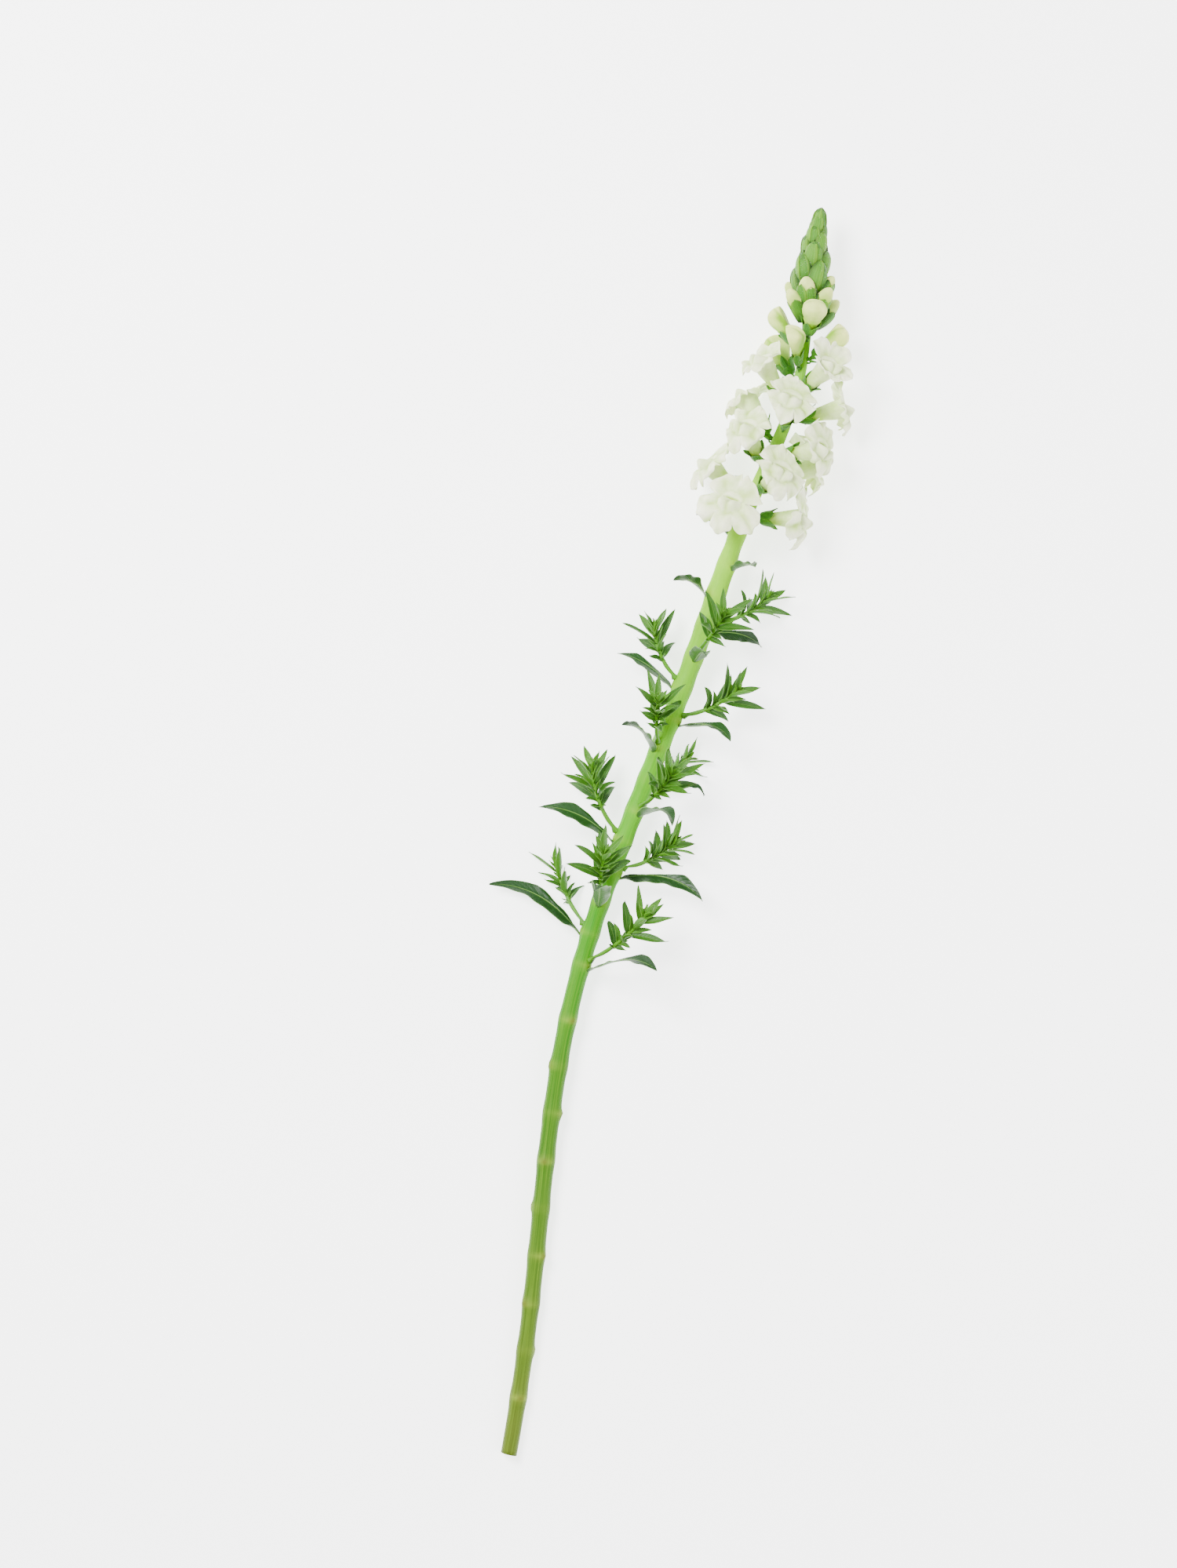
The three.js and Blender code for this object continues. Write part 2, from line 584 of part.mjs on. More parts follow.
// The calyx and the short stalk that carries it, as one surface. The foot is sunk in the main stalk and
// isn't bent.
function calyxGeometry({ frame, room, size }) {
  const samples = calyx.sepals * 2;
  const { skin, side, up, axis } = frame;
  const foot = sum(skin.at, [skin.out, -1.6]);
  const turns = Array.from({ length: samples }, (_, j) => (2 * Math.PI * (j + 1)) / samples + Math.PI / 2);
  const round = (centre, r, w) => turns.map((turn) =>
    sum(centre, [side, r * Math.cos(turn)], [up, r * Math.sin(turn)], [axis, w]));
  const bent = (ring, margin) => ring.map((point) => bend(point, room, margin));
  const rim = bent(turns.map((turn, j) => {
    const w = j % 2 ? calyx.tip * mix(0.9, 1, size) : calyx.cleft;
    const r = 3 + 0.4 * (w - 2.4);
    return sum(frame.at, [side, r * Math.cos(turn)], [up, r * Math.sin(turn)], [axis, w]);
  }), clear + calyx.thickness);
  const outerRim = rim.map((point, j) => onTable(
    sum(point, [side, calyx.thickness * Math.cos(turns[j])], [up, calyx.thickness * Math.sin(turns[j])])));
  const rings = [
    round(foot, 1.5, 0),
    bent(round(frame.at, calyx.pedicelRadius, -0.5), clear),
    bent(round(frame.at, 4.4, 2.8), clear),
    outerRim,
    rim,
  ];
  return closedSurface(rings, foot, bend(inBloom(frame, 0, 0, 1.2), room, clear));
}

// The small leaf under each flower and bud, sunk in the stalk.
function bractGeometry({ frame, room }) {
  const { skin } = frame;
  const root = { ...skin, at: sum(skin.at, [skin.along, -2.8], [skin.out, -1.6]) };
  const length = fittingLength(frame.bract, frame.at, skin.out, room, bladePress);
  const space = Math.min(...room.walls.map((wall) => wall.reach - frame.at.dot(wall.normal)));
  const width = Math.min(5.4, 1.6 * space);
  const shape = { length, width, belly: 0.62, leave: 68, curl: 96, yaw: 6, twist: 0, wave: 0 };
  return bladeSolid(root, shape, room, [0.07, 0.42, 0.74], root.at);
}

// ---------------------------------------------------------------- the head of green buds

function ovoid(root, length, width, room) {
  const sides = 6;
  const profile = [[0.24, 0.9], [0.66, 0.88]];
  const place = (w, u, v) => {
    const point = sum(root.at, [root.axis, w], [root.side, u], [root.up, v]);
    return onTable(bend(point, room, clear));
  };
  const rings = profile.map(([share, fat]) => Array.from({ length: sides }, (_, j) => {
    const turn = (2 * Math.PI * j) / sides;
    const r = 0.5 * width * fat;
    return place(share * length, r * Math.cos(turn), 0.85 * r * Math.sin(turn));
  }));
  return closedSurface(rings, place(0, 0, 0), place(length, 0, -0.06 * width));
}

const looseBudPlans = Array.from({ length: spike.looseBuds }, (_, n) => {
  const rank = spike.flowers + spike.buds + n;
  const share = n / spike.looseBuds;
  const frame = bloomFrame(spike.looseFrom + n * spike.looseStep, azimuthOf(spike.azimuth, rank),
    mix(36, 24, share), 2.5);
  return { frame, length: mix(23, 20, share), width: 12 };
});

const coneBudPlans = Array.from({ length: spike.coneBuds }, (_, n) => {
  const rank = spike.flowers + spike.buds + spike.looseBuds + n;
  const share = n / (spike.coneBuds - 1);
  const t = mix(spike.coneFrom, spike.coneTo, share ** 0.9);
  const skin = stalkSkin(t, (rank * goldenAngle + spike.azimuth) % 360);
  const stand = mix(4.2, 0.5, share ** 1.5) - stalkRadius(t);
  const frame = bloomFrame(t, (rank * goldenAngle + spike.azimuth) % 360, mix(17, 2, share), 0);
  frame.at = sum(skin.at, [skin.out, stand]);
  return { frame, length: mix(21, 12.5, share), width: mix(13, 8.8, share) };
});

const headBalls = [
  { at: stalkCentre(0.908), r: 5 }, { at: stalkCentre(0.93), r: 10 }, { at: stalkCentre(0.95), r: 11.5 },
  { at: stalkCentre(0.972), r: 9 }, { at: stalkCentre(0.992), r: 5 },
  ...looseBudPlans.map(({ frame, length }) => ({ at: inBloom(frame, 0, 0, length * 0.6), r: 5 })),
];
const headRoom = addRoom(headBalls, 2);

function headGeometry() {
  const sides = 8;
  const rings = headCore.map(([t, r], index) => {
    const frame = stalkFrame(index ? t : t + clear / stalk.length);
    return Array.from({ length: sides }, (_, j) => {
      const turn = (2 * Math.PI * j) / sides;
      return sum(frame.at, [frame.side, r * Math.cos(turn)], [frame.up, r * Math.sin(turn)]);
    });
  });
  const start = stalkCentre(spike.headFrom + clear / stalk.length);
  const pieces = [closedSurface(rings, start, stalkCentre(0.993))];
  for (const { frame, length, width } of [...looseBudPlans, ...coneBudPlans]) {
    const root = { at: sum(frame.at, [frame.rise, -1.5]), axis: frame.axis, side: frame.side, up: frame.up };
    pieces.push(ovoid(root, length, width, headRoom));
  }
  return fuse(pieces);
}

// ---------------------------------------------------------------- the stalk with its scars and calyces

function stalkGeometry() {
  const places = new Set([0, stalk.flatUntil, spike.headFrom]);
  for (const joint of jointPlaces) places.add(joint).add(joint + leafyJoints.step / 2);
  for (let t = 0.768; t < spike.headFrom - 0.01; t += 0.018) places.add(t);
  const rings = [...places].sort((a, b) => a - b).map((t) => {
    const frame = stalkFrame(t);
    return Array.from({ length: stalk.sides }, (_, j) => {
      const turn = (2 * Math.PI * (j + 0.5)) / stalk.sides;
      const r = stalkRadius(t);
      const point = sum(frame.at, [frame.side, r * Math.sin(turn)], [frame.up, r * Math.cos(turn)]);
      return t === 0 ? vec(point.x, 0, Math.max(0, point.z)) : onTable(point);
    });
  });
  return closedSurface(rings, stalkCentre(0), stalkCentre(spike.headFrom));
}

function scarGeometry(t, n) {
  const skin = stalkSkin(t, azimuthOf(bareJoints.azimuth, n));
  const at = sum(skin.at, [skin.out, -0.7], [skin.along, -2]);
  return ovoid({ at, axis: skin.along, side: skin.cross, up: skin.out }, 4.5, 4, { walls: [] });
}

function stemGeometry() {
  const pieces = [stalkGeometry(), ...bareJointPlaces.map(scarGeometry)];
  for (const bloom of [...flowerPlans, ...budPlans]) {
    pieces.push(calyxGeometry(bloom), bractGeometry(bloom));
  }
  return fuse(pieces);
}

// ---------------------------------------------------------------- assembly

raiseWalls();

const finishes = {
  stem: new THREE.MeshStandardMaterial({ color: 0x86bb48, roughness: 0.5 }),
  greenBuds: new THREE.MeshStandardMaterial({ color: 0x7db356, roughness: 0.6 }),
  petals: new THREE.MeshStandardMaterial({ color: 0xf6f8ef, roughness: 0.7 }),
  paleBuds: new THREE.MeshStandardMaterial({ color: 0xe6eeb6, roughness: 0.6 }),
  leaves: new THREE.MeshStandardMaterial({ color: 0x35663b, roughness: 0.5 }),
  shoots: new THREE.MeshStandardMaterial({ color: 0x4f8a3a, roughness: 0.5 }),
};
const wholeStem = new THREE.Group();

function addPiece(name, geometry, material) {
  const mesh = new THREE.Mesh(geometry, material);
  mesh.name = name;
  wholeStem.add(mesh);
}

const numbered = (word, n) => `${word}_${String(n + 1).padStart(2, "0")}`;

addPiece("stem", stemGeometry(), finishes.stem);
addPiece("bud_head", headGeometry(), finishes.greenBuds);
flowerPlans.forEach((plan, n) => addPiece(numbered("flower", n), flowerGeometry(plan), finishes.petals));
budPlans.forEach((plan, n) => addPiece(numbered("pale_bud", n), budGeometry(plan), finishes.paleBuds));
leafPlans.forEach(({ root, foot, shape, room }, n) => {
  addPiece(numbered("leaf", n), bladeSolid(root, shape, room, [0, 0.22, 0.5, 0.78], foot), finishes.leaves);
});
shootPlans.forEach((plan, n) => addPiece(numbered("side_shoot", n), shootGeometry(plan), finishes.shoots));

// The origin is under the middle of the box round the whole stem.
const box = new THREE.Box3().setFromObject(wholeStem);
const middle = box.getCenter(vec(0, 0, 0));
wholeStem.position.set(-middle.x, -middle.y, -box.min.z);
wholeStem.updateMatrixWorld(true);

export default wholeStem;
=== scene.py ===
import math

import bmesh
import bpy
import numpy as np
from mathutils import Matrix, Vector


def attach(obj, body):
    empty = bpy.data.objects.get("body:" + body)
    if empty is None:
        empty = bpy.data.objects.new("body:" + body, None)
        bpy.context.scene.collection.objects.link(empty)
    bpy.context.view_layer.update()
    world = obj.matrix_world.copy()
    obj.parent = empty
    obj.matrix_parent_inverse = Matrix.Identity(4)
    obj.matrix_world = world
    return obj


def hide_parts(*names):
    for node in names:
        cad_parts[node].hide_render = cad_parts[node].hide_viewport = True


# A cut snapdragon stem lying on a pale floor. Forms are worked out in millimetres along the stalk, where t
# runs from 0 at the cut end to 1 at the tip, and are moved into the frame, in metres, as they are made.

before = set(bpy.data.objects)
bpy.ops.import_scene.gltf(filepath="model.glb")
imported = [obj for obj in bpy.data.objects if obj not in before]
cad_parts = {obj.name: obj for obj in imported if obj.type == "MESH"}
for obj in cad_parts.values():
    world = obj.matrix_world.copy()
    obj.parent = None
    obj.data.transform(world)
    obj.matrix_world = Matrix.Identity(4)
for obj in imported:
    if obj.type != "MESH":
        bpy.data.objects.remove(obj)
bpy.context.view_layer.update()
mm = 0.001
goldenAngle = 137.5
turnShare = 0.7   # azimuths are drawn in to this share, since the stem lies on its underside
sineHash = {"piece": 12.9898, "salt": 78.233, "spread": 43758.5453}


def vec(x, y, z):
    return np.array([x, y, z], float)


def unit(v):
    return v / np.linalg.norm(v, axis=-1, keepdims=True)


def mix(a, b, share):
    return a + (b - a) * share


def limit(value):
    return np.clip(value, 0, 1)


def scaled(direction, amount):   # a direction times one amount or many
    return np.asarray(amount, float)[..., None] * direction


def fullTurn(count):   # angles round a ring, in one row
    return np.linspace(0, 2 * np.pi, count, endpoint=False)[None]


def draw(n, salt):   # a repeatable draw between 0 and 1 for piece number n
    wave = math.sin(n * sineHash["piece"] + salt * sineHash["salt"]) * sineHash["spread"]
    return wave - math.floor(wave)


def drawn(ends, n, salt):   # a draw between two ends
    return mix(*ends, draw(n, salt))


def azimuthOf(start, n):
    turned = (start + n * goldenAngle) % 360
    return (turned - 360 if turned > 180 else turned) * turnShare


# The stalk's line, as it lies

stalk = {
    "length": 760,
    "radii": ((0, 4.8), (0.36, 5.2), (0.7, 5.8), (0.75, 4.6), (0.86, 3.4), (0.92, 2.6), (1, 1.2)),
    "bows": ((-31, 0.36, 0.25), (13, 0.86, 0.09)),   # sideways reach, place and spread
    "rise": 21,
    "flatUntil": 0.03,
    "steepening": 1.12,
    "swelling": 0.45,    # how far a joint stands out
    "frameSides": 8,
    "sight": 0.004,      # how far each way its direction is measured
}
bareJoints = {"count": 9, "start": 0.045, "step": 0.037, "azimuth": 20}
leafyJoints = {"count": 15, "start": 0.385, "step": 0.0253, "azimuth": 75, "shoots": 12}
spike = {
    "flowers": 12, "flowersFrom": 0.744, "flowerStep": 0.0102,
    "buds": 5, "budsFrom": 0.866, "budStep": 0.008,
    "looseBuds": 6, "looseFrom": 0.905, "looseStep": 0.0034,
    "coneBuds": 17, "coneFrom": 0.927, "coneTo": 0.983,
    "azimuth": -28, "headFrom": 0.9,
}
clear = 0.3   # gap kept between neighbouring pieces
nested = 1.5  # how far a petal tube keeps from the walls of its room, inside its calyx


def placesOf(joints):
    return [joints["start"] + n * joints["step"] for n in range(joints["count"])]


jointPlaces = placesOf(bareJoints) + placesOf(leafyJoints)


def jointSwell(t):   # 1 at a joint, down to 0 half a step away
    half = leafyJoints["step"] / 2
    return np.maximum(0, np.max([1 - np.abs(t - joint) / half for joint in jointPlaces], axis=0))


def plainRadius(t):
    places, radii = zip(*stalk["radii"])
    return np.interp(t, places, radii)


def stalkRadius(t):
    return plainRadius(t) + stalk["swelling"] * jointSwell(t)


def stalkCentre(t):
    t = np.asarray(t, float)
    x = sum(reach * np.exp(-(((t - at) / spread) ** 2)) for reach, at, spread in stalk["bows"])
    lift = np.maximum(0, t - stalk["flatUntil"]) / (1 - stalk["flatUntil"])
    lying = stalk["radii"][0][1] * math.cos(math.pi / stalk["frameSides"])
    return np.stack([x, t * stalk["length"], lying + stalk["rise"] * lift ** stalk["steepening"]], axis=-1)


def stalkFrame(t):
    along = unit(stalkCentre(t + stalk["sight"]) - stalkCentre(t - stalk["sight"]))
    side = unit(np.cross(along, vec(0, 0, 1)))
    return {"at": stalkCentre(t), "along": along, "side": side, "up": np.cross(side, along)}


def stalkSkin(t, azimuth):
    here = stalkFrame(t)
    turn = math.radians(azimuth)
    out = here["up"] * math.cos(turn) + here["side"] * math.sin(turn)
    return {"at": here["at"] + out * stalkRadius(t), "along": here["along"], "out": out,
            "cross": np.cross(here["along"], out)}


def stalkFlat(t, azimuth):   # the flat side that the skin is cut from there
    skin = stalkSkin(t, azimuth)
    between = 360 / stalk["frameSides"]
    turn = math.radians(azimuth - between * math.floor(azimuth / between + 0.5))
    inside = 1 - math.cos(math.radians(between / 2)) / math.cos(turn)
    return {**skin, "at": skin["at"] - skin["out"] * inside * stalkRadius(t)}


# Room for each piece: a convex space that its form is bent to stay in, so that neighbours don't cross

parting = {"directions": 420, "near": 14, "rounds": 3, "leastSlope": 0.1}
rooms = []
tableWall = (vec(0, 0, -1), 0.0, 1.0)   # a wall is its normal, how far along that it stands, and its softness


def addRoom(balls, softness, skin=None):
    walls = [(-skin["out"], -(skin["at"] @ skin["out"]), 1.0)] if skin else []
    centres = np.array([at for at, _ in balls])
    radii = np.array([radius for _, radius in balls])
    rooms.append({"centres": centres, "radii": radii, "softness": softness, "walls": walls})
    return rooms[-1]


def evenDirections(count):
    n = np.arange(count)
    height = 1 - (2 * n + 1) / count
    ring = np.sqrt(1 - height * height)
    turn = np.radians(n * goldenAngle)
    return np.stack([ring * np.cos(turn), ring * np.sin(turn), height], axis=1)


def raiseWalls():   # stands a wall between each two rooms where they are furthest apart
    directions = evenDirections(parting["directions"])
    for index, one in enumerate(rooms):
        near = (one["centres"] @ directions.T + one["radii"][:, None]).max(axis=0)
        for other in rooms[index + 1:]:
            apart = np.linalg.norm(one["centres"][:, None] - other["centres"][None], axis=2)
            if (apart - one["radii"][:, None] - other["radii"][None]).min() > parting["near"]:
                continue
            far = (other["centres"] @ directions.T - other["radii"][:, None]).min(axis=0)
            best = int(np.argmax(far - near))
            normal, reach = directions[best], (near[best] + far[best]) / 2
            one["walls"].append((normal, reach, one["softness"]))
            other["walls"].append((-normal, -reach, other["softness"]))


def bend(points, room, margin, lowest=0.0):
    p = np.array(points, float)
    for _ in range(parting["rounds"]):
        for normal, reach, softness in room["walls"]:
            height = reach - p @ normal - margin
            eased = softness * np.exp(np.minimum(height, softness) / softness - 1)
            p += scaled(normal, np.where(height < softness, height - eased, 0))
        p[..., 2] = np.maximum(p[..., 2], lowest)
    return p


def fittingLength(length, at, direction, room, press):   # how long a piece can grow before it meets a wall
    most = np.broadcast_to(np.asarray(length, float), direction.shape[:-1])
    least = parting["leastSlope"]
    for normal, reach, _ in room["walls"] + [tableWall]:
        towards = direction @ normal
        pressed = max(0, reach - at @ normal) + press
        most = np.where(towards > least, np.minimum(most, pressed / np.maximum(towards, least)), most)
    return most


# Meshes: every form is a grid wrapped round into a closed shell

tableGap = 0.02   # mm over the table
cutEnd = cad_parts["stem"].data.vertices
cutY = min(v.co.y for v in cutEnd)
cutX = np.mean([v.co.x for v in cutEnd if v.co.y < cutY + 1e-5])
shift = vec(cutX / mm - stalkCentre(0)[0], cutY / mm, 0)   # from the stalk's own place to the frame's


def wrapGrid(bm, points, **layers):
    rows, columns = points.shape[:2]
    made = bmesh.ops.create_grid(bm, x_segments=columns - 1, y_segments=rows - 1, size=1, calc_uvs=True)
    grid = made["verts"]
    placed = (points + shift) * mm
    keys = [(bm.verts.layers.float[name], np.broadcast_to(values, (rows, columns)))
            for name, values in layers.items()]
    for vert in grid:
        column = round((vert.co.x + 1) / 2 * (columns - 1))
        row = round((vert.co.y + 1) / 2 * (rows - 1))
        vert.co = placed[row, column]
        for layer, values in keys:
            vert[layer] = values[row, column]
    bmesh.ops.remove_doubles(bm, verts=grid, dist=2e-7)


def newShape(*layerNames):
    bm = bmesh.new()
    bm.loops.layers.uv.new("UVMap")
    for name in layerNames:
        bm.verts.layers.float.new(name)
    return bm


def finishPiece(bm, name, material, slot, *nodes):
    bmesh.ops.recalc_face_normals(bm, faces=bm.faces)
    for face in bm.faces:
        face.smooth = True
    mesh = bpy.data.meshes.new(name)
    bm.to_mesh(mesh)
    bm.free()
    piece = bpy.data.objects.new(name, mesh)
    bpy.context.scene.collection.objects.link(piece)
    mesh.materials.append(material)
    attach(piece, "root")
    if nodes:
        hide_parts(*nodes)
    return piece


def ringed(rows):   # closes rows of points or values on themselves
    return np.concatenate([rows, rows[:, :1]], axis=1)


def roundEdge(upper, lower):   # rows that go over the upper face and back under the lower one
    return ringed(np.concatenate([upper, lower[:, ::-1]], axis=1))


def pole(point, rows):   # a row drawn together in one point, to close the end of these rows
    return np.broadcast_to(point, rows[:1].shape)


def tubeRows(line, side, up, radius, turn):   # rings round a line
    return (line[:, None] + scaled(side[:, None], radius * np.sin(turn))
            + scaled(up[:, None], radius * np.cos(turn)))


def surfaceNormals(mid):
    crossed = np.cross(np.gradient(mid, axis=0), np.gradient(mid, axis=1))
    return crossed / np.maximum(np.linalg.norm(crossed, axis=-1, keepdims=True), 1e-9)


def onTable(points):
    p = np.array(points)
    p[..., 2] = np.maximum(p[..., 2], tableGap)
    return p


# Materials. Sizes and depths of patterns are in mm

def colour(code):   # sRGB hex to linear
    parts = [int(code[i:i + 2], 16) / 255 for i in (1, 3, 5)]
    return tuple(p / 12.92 if p <= 0.04045 else ((p + 0.055) / 1.055) ** 2.4 for p in parts) + (1,)


def addNode(tree, kind, links=(), output=0, **settings):   # one node, by the output that is wanted
    node = tree.nodes.new("ShaderNode" + kind)
    for name, value in settings.items():
        setattr(node, name, value)
    for socket, source in links.items() if isinstance(links, dict) else enumerate(links):
        if isinstance(source, bpy.types.NodeSocket):
            tree.links.new(source, node.inputs[socket])
        else:
            node.inputs[socket].default_value = source
    return node.outputs[output]


def newMaterial(name, roughness, **settings):
    material = bpy.data.materials.new(name)
    material.use_nodes = True
    shader = material.node_tree.nodes["Principled BSDF"]
    shader.inputs["Roughness"].default_value = roughness
    for socket, value in settings.items():
        shader.inputs[socket.replace("_", " ")].default_value = value
    return material, material.node_tree, shader


def coat(tree, shader, base, height, depth):   # gives the surface its colour and its relief
    normal = addNode(tree, "Bump", {"Height": height, "Strength": 1.0, "Distance": depth * mm})
    tree.links.new(base, shader.inputs["Base Color"])
    tree.links.new(normal, shader.inputs["Normal"])


petal = {"dot": "#a3951c", "patch": 7, "grain": 0.5, "veins": 44, "depth": 0.05}


def petalMaterial(name, white, tinge):
    # Snapdragon petal: thin, soft and matt, white where it is lit, with a yellow-green tint towards the tube
    # and painted yellow-green shade in the folds, the mouth gap and the palate's furrow.
    material, tree, shader = newMaterial(name, 0.6, Subsurface_Weight=0.2, Subsurface_Scale=0.8 * mm,
                                         Subsurface_Radius=(1.0, 1.0, 0.6), Specular_IOR_Level=0.3)
    place = addNode(tree, "TexCoord", output="Object")
    patch = addNode(tree, "TexNoise", {"Vector": place, "Scale": 1 / (petal["patch"] * mm), "Detail": 3.0})
    patches = addNode(tree, "Math", (patch, 0.9, -0.38), operation="MULTIPLY_ADD")
    # this attribute holds the petal's yellow-green tint together with painted shade in its folds and hollows
    green = addNode(tree, "Attribute", output="Fac", attribute_name="green")
    tinged = addNode(tree, "Math", (patches, green), operation="ADD", use_clamp=True)
    base = addNode(tree, "Mix", {0: tinged, 6: colour(white), 7: colour(tinge)}, 2, data_type="RGBA")
    dot = addNode(tree, "Attribute", output="Fac", attribute_name="dot")
    base = addNode(tree, "Mix", {0: dot, 6: base, 7: colour(petal["dot"])}, 2, data_type="RGBA")
    around = addNode(tree, "SeparateXYZ", (addNode(tree, "TexCoord", output="UV"),), "X")
    phase = addNode(tree, "Math", (around, 2 * math.pi * petal["veins"]), operation="MULTIPLY")
    veins = addNode(tree, "Math", (phase,), operation="SINE")
    grain = addNode(tree, "TexNoise", {"Vector": place, "Scale": 1 / (petal["grain"] * mm), "Detail": 2.0})
    height = addNode(tree, "Math", (veins, 0.35, grain), operation="MULTIPLY_ADD")
    coat(tree, shader, base, height, petal["depth"])
    return material


leafLook = {"vein": "#80b04c", "patch": 4, "grain": 0.7, "depth": 0.12, "midrib": 11.0, "margin": 12.0,
            "slant": -7.0}


def leafMaterial(name, upper, lower, fresh, roughness, veinCount):
    # Snapdragon leaf: a waxy skin, dark above and pale below, with a pale midrib and a fine pale margin.
    material, tree, shader = newMaterial(name, roughness, Subsurface_Weight=0.06, Subsurface_Scale=0.6 * mm,
                                         Specular_IOR_Level=0.3)
    side = addNode(tree, "Attribute", output="Fac", attribute_name="across")
    across = addNode(tree, "Math", (side,), operation="ABSOLUTE")
    under = addNode(tree, "Attribute", output="Fac", attribute_name="under")
    shade = addNode(tree, "Attribute", output="Fac", attribute_name="shade")
    along = addNode(tree, "Attribute", output="Fac", attribute_name="along")
    place = addNode(tree, "TexCoord", output="Object")
    base = addNode(tree, "Mix", {0: under, 6: colour(upper), 7: colour(lower)}, 2, data_type="RGBA")
    patch = addNode(tree, "TexNoise", {"Vector": place, "Scale": 1 / (leafLook["patch"] * mm), "Detail": 3.0})
    youth = addNode(tree, "Math", (patch, 0.3, shade), operation="MULTIPLY_ADD", use_clamp=True)
    share = addNode(tree, "Math", (youth, 0.75), operation="MULTIPLY")
    base = addNode(tree, "Mix", {0: share, 6: base, 7: colour(fresh)}, 2, data_type="RGBA")
    off = addNode(tree, "Math", (across, leafLook["midrib"]), operation="MULTIPLY")
    midrib = addNode(tree, "Math", (1.0, off), operation="SUBTRACT", use_clamp=True)
    fromEdge = (across, leafLook["margin"], 1 - leafLook["margin"])
    margin = addNode(tree, "Math", fromEdge, operation="MULTIPLY_ADD", use_clamp=True)
    lines = addNode(tree, "Math", (midrib, margin), operation="MAXIMUM")
    pale = addNode(tree, "Math", (lines, 0.55), operation="MULTIPLY")
    base = addNode(tree, "Mix", {0: pale, 6: base, 7: colour(leafLook["vein"])}, 2, data_type="RGBA")
    slanted = addNode(tree, "Math", (across, leafLook["slant"]), operation="MULTIPLY")
    phase = addNode(tree, "Math", (along, veinCount * 2 * math.pi, slanted), operation="MULTIPLY_ADD")
    wave = addNode(tree, "Math", (addNode(tree, "Math", (phase,), operation="SINE"),), operation="ABSOLUTE")
    veins = addNode(tree, "Math", (wave, 0.4), operation="POWER")
    grain = addNode(tree, "TexNoise", {"Vector": place, "Scale": 1 / (leafLook["grain"] * mm), "Detail": 2.0})
    height = addNode(tree, "Math", (veins, 0.8, grain), operation="MULTIPLY_ADD")
    height = addNode(tree, "Math", (midrib, -1.5, height), operation="MULTIPLY_ADD")
    coat(tree, shader, base, height, leafLook["depth"])
    return material


rindLook = {
    "stops": ((0, "#4c5816"), (0.13, "#3d5c0c"), (0.3, "#286203"), (0.42, "#2c8200"), (0.55, "#4da000"),
              (0.7, "#7cbb0c"), (0.78, "#8cc224"), (0.88, "#68ac14"), (1, "#4f8f14")),
    "streaks": "#9ccc2c", "dark": "#2f5a10", "joint": "#a5bc38", "scar": "#56581c", "pith": "#cdd494",
    "lines": (30.0, 9.0, 1.0), "patch": 14, "grain": 0.8, "depth": 0.15,
}


def stalkMaterial():
    # Snapdragon stalk: a smooth waxy rind with fine lengthwise lines, olive and drier towards the cut end.
    material, tree, shader = newMaterial("waxyStalk", 0.55, Specular_IOR_Level=0.12)
    place = addNode(tree, "TexCoord", output="Object")
    along = addNode(tree, "Attribute", output="Fac", attribute_name="along")
    base = addNode(tree, "ValToRGB", (along,))
    ramp = base.node.color_ramp
    ramp.elements.remove(ramp.elements[1])
    for at, code in rindLook["stops"]:
        stop = ramp.elements[0] if at == 0 else ramp.elements.new(at)
        stop.color = colour(code)
    uv = addNode(tree, "TexCoord", output="UV")
    stretched = addNode(tree, "Mapping", {"Vector": uv, "Scale": rindLook["lines"]})
    lines = addNode(tree, "TexNoise", {"Vector": stretched, "Scale": 1.0, "Detail": 5.0})
    streaks = addNode(tree, "Math", (lines, 2.4, -0.85), operation="MULTIPLY_ADD", use_clamp=True)
    patch = addNode(tree, "TexNoise", {"Vector": place, "Scale": 1 / (rindLook["patch"] * mm), "Detail": 3.0})
    darker = addNode(tree, "Math", (patch, 1.6, -0.6), operation="MULTIPLY_ADD", use_clamp=True)
    joint = addNode(tree, "Attribute", output="Fac", attribute_name="joint")
    scar = addNode(tree, "Attribute", output="Fac", attribute_name="scar")
    pith = addNode(tree, "Attribute", output="Fac", attribute_name="pith")
    for layer, strength, name in ((streaks, 0.24, "streaks"), (darker, 0.3, "dark"), (joint, 0.4, "joint"),
                                  (scar, 1.0, "scar"), (pith, 1.0, "pith")):
        share = addNode(tree, "Math", (layer, strength), operation="MULTIPLY")
        base = addNode(tree, "Mix", {0: share, 6: base, 7: colour(rindLook[name])}, 2, data_type="RGBA")
    grain = addNode(tree, "TexNoise", {"Vector": place, "Scale": 1 / (rindLook["grain"] * mm), "Detail": 2.0})
    height = addNode(tree, "Math", (grain, 0.3, lines), operation="MULTIPLY_ADD")
    coat(tree, shader, base, height, rindLook["depth"])
    return material


# the first colour here is painted shade, for the cracks between packed buds
sepal = {"crackShade": "#0c3208", "patch": 3, "grain": 0.35, "depth": 0.14, "ribs": 9.0}


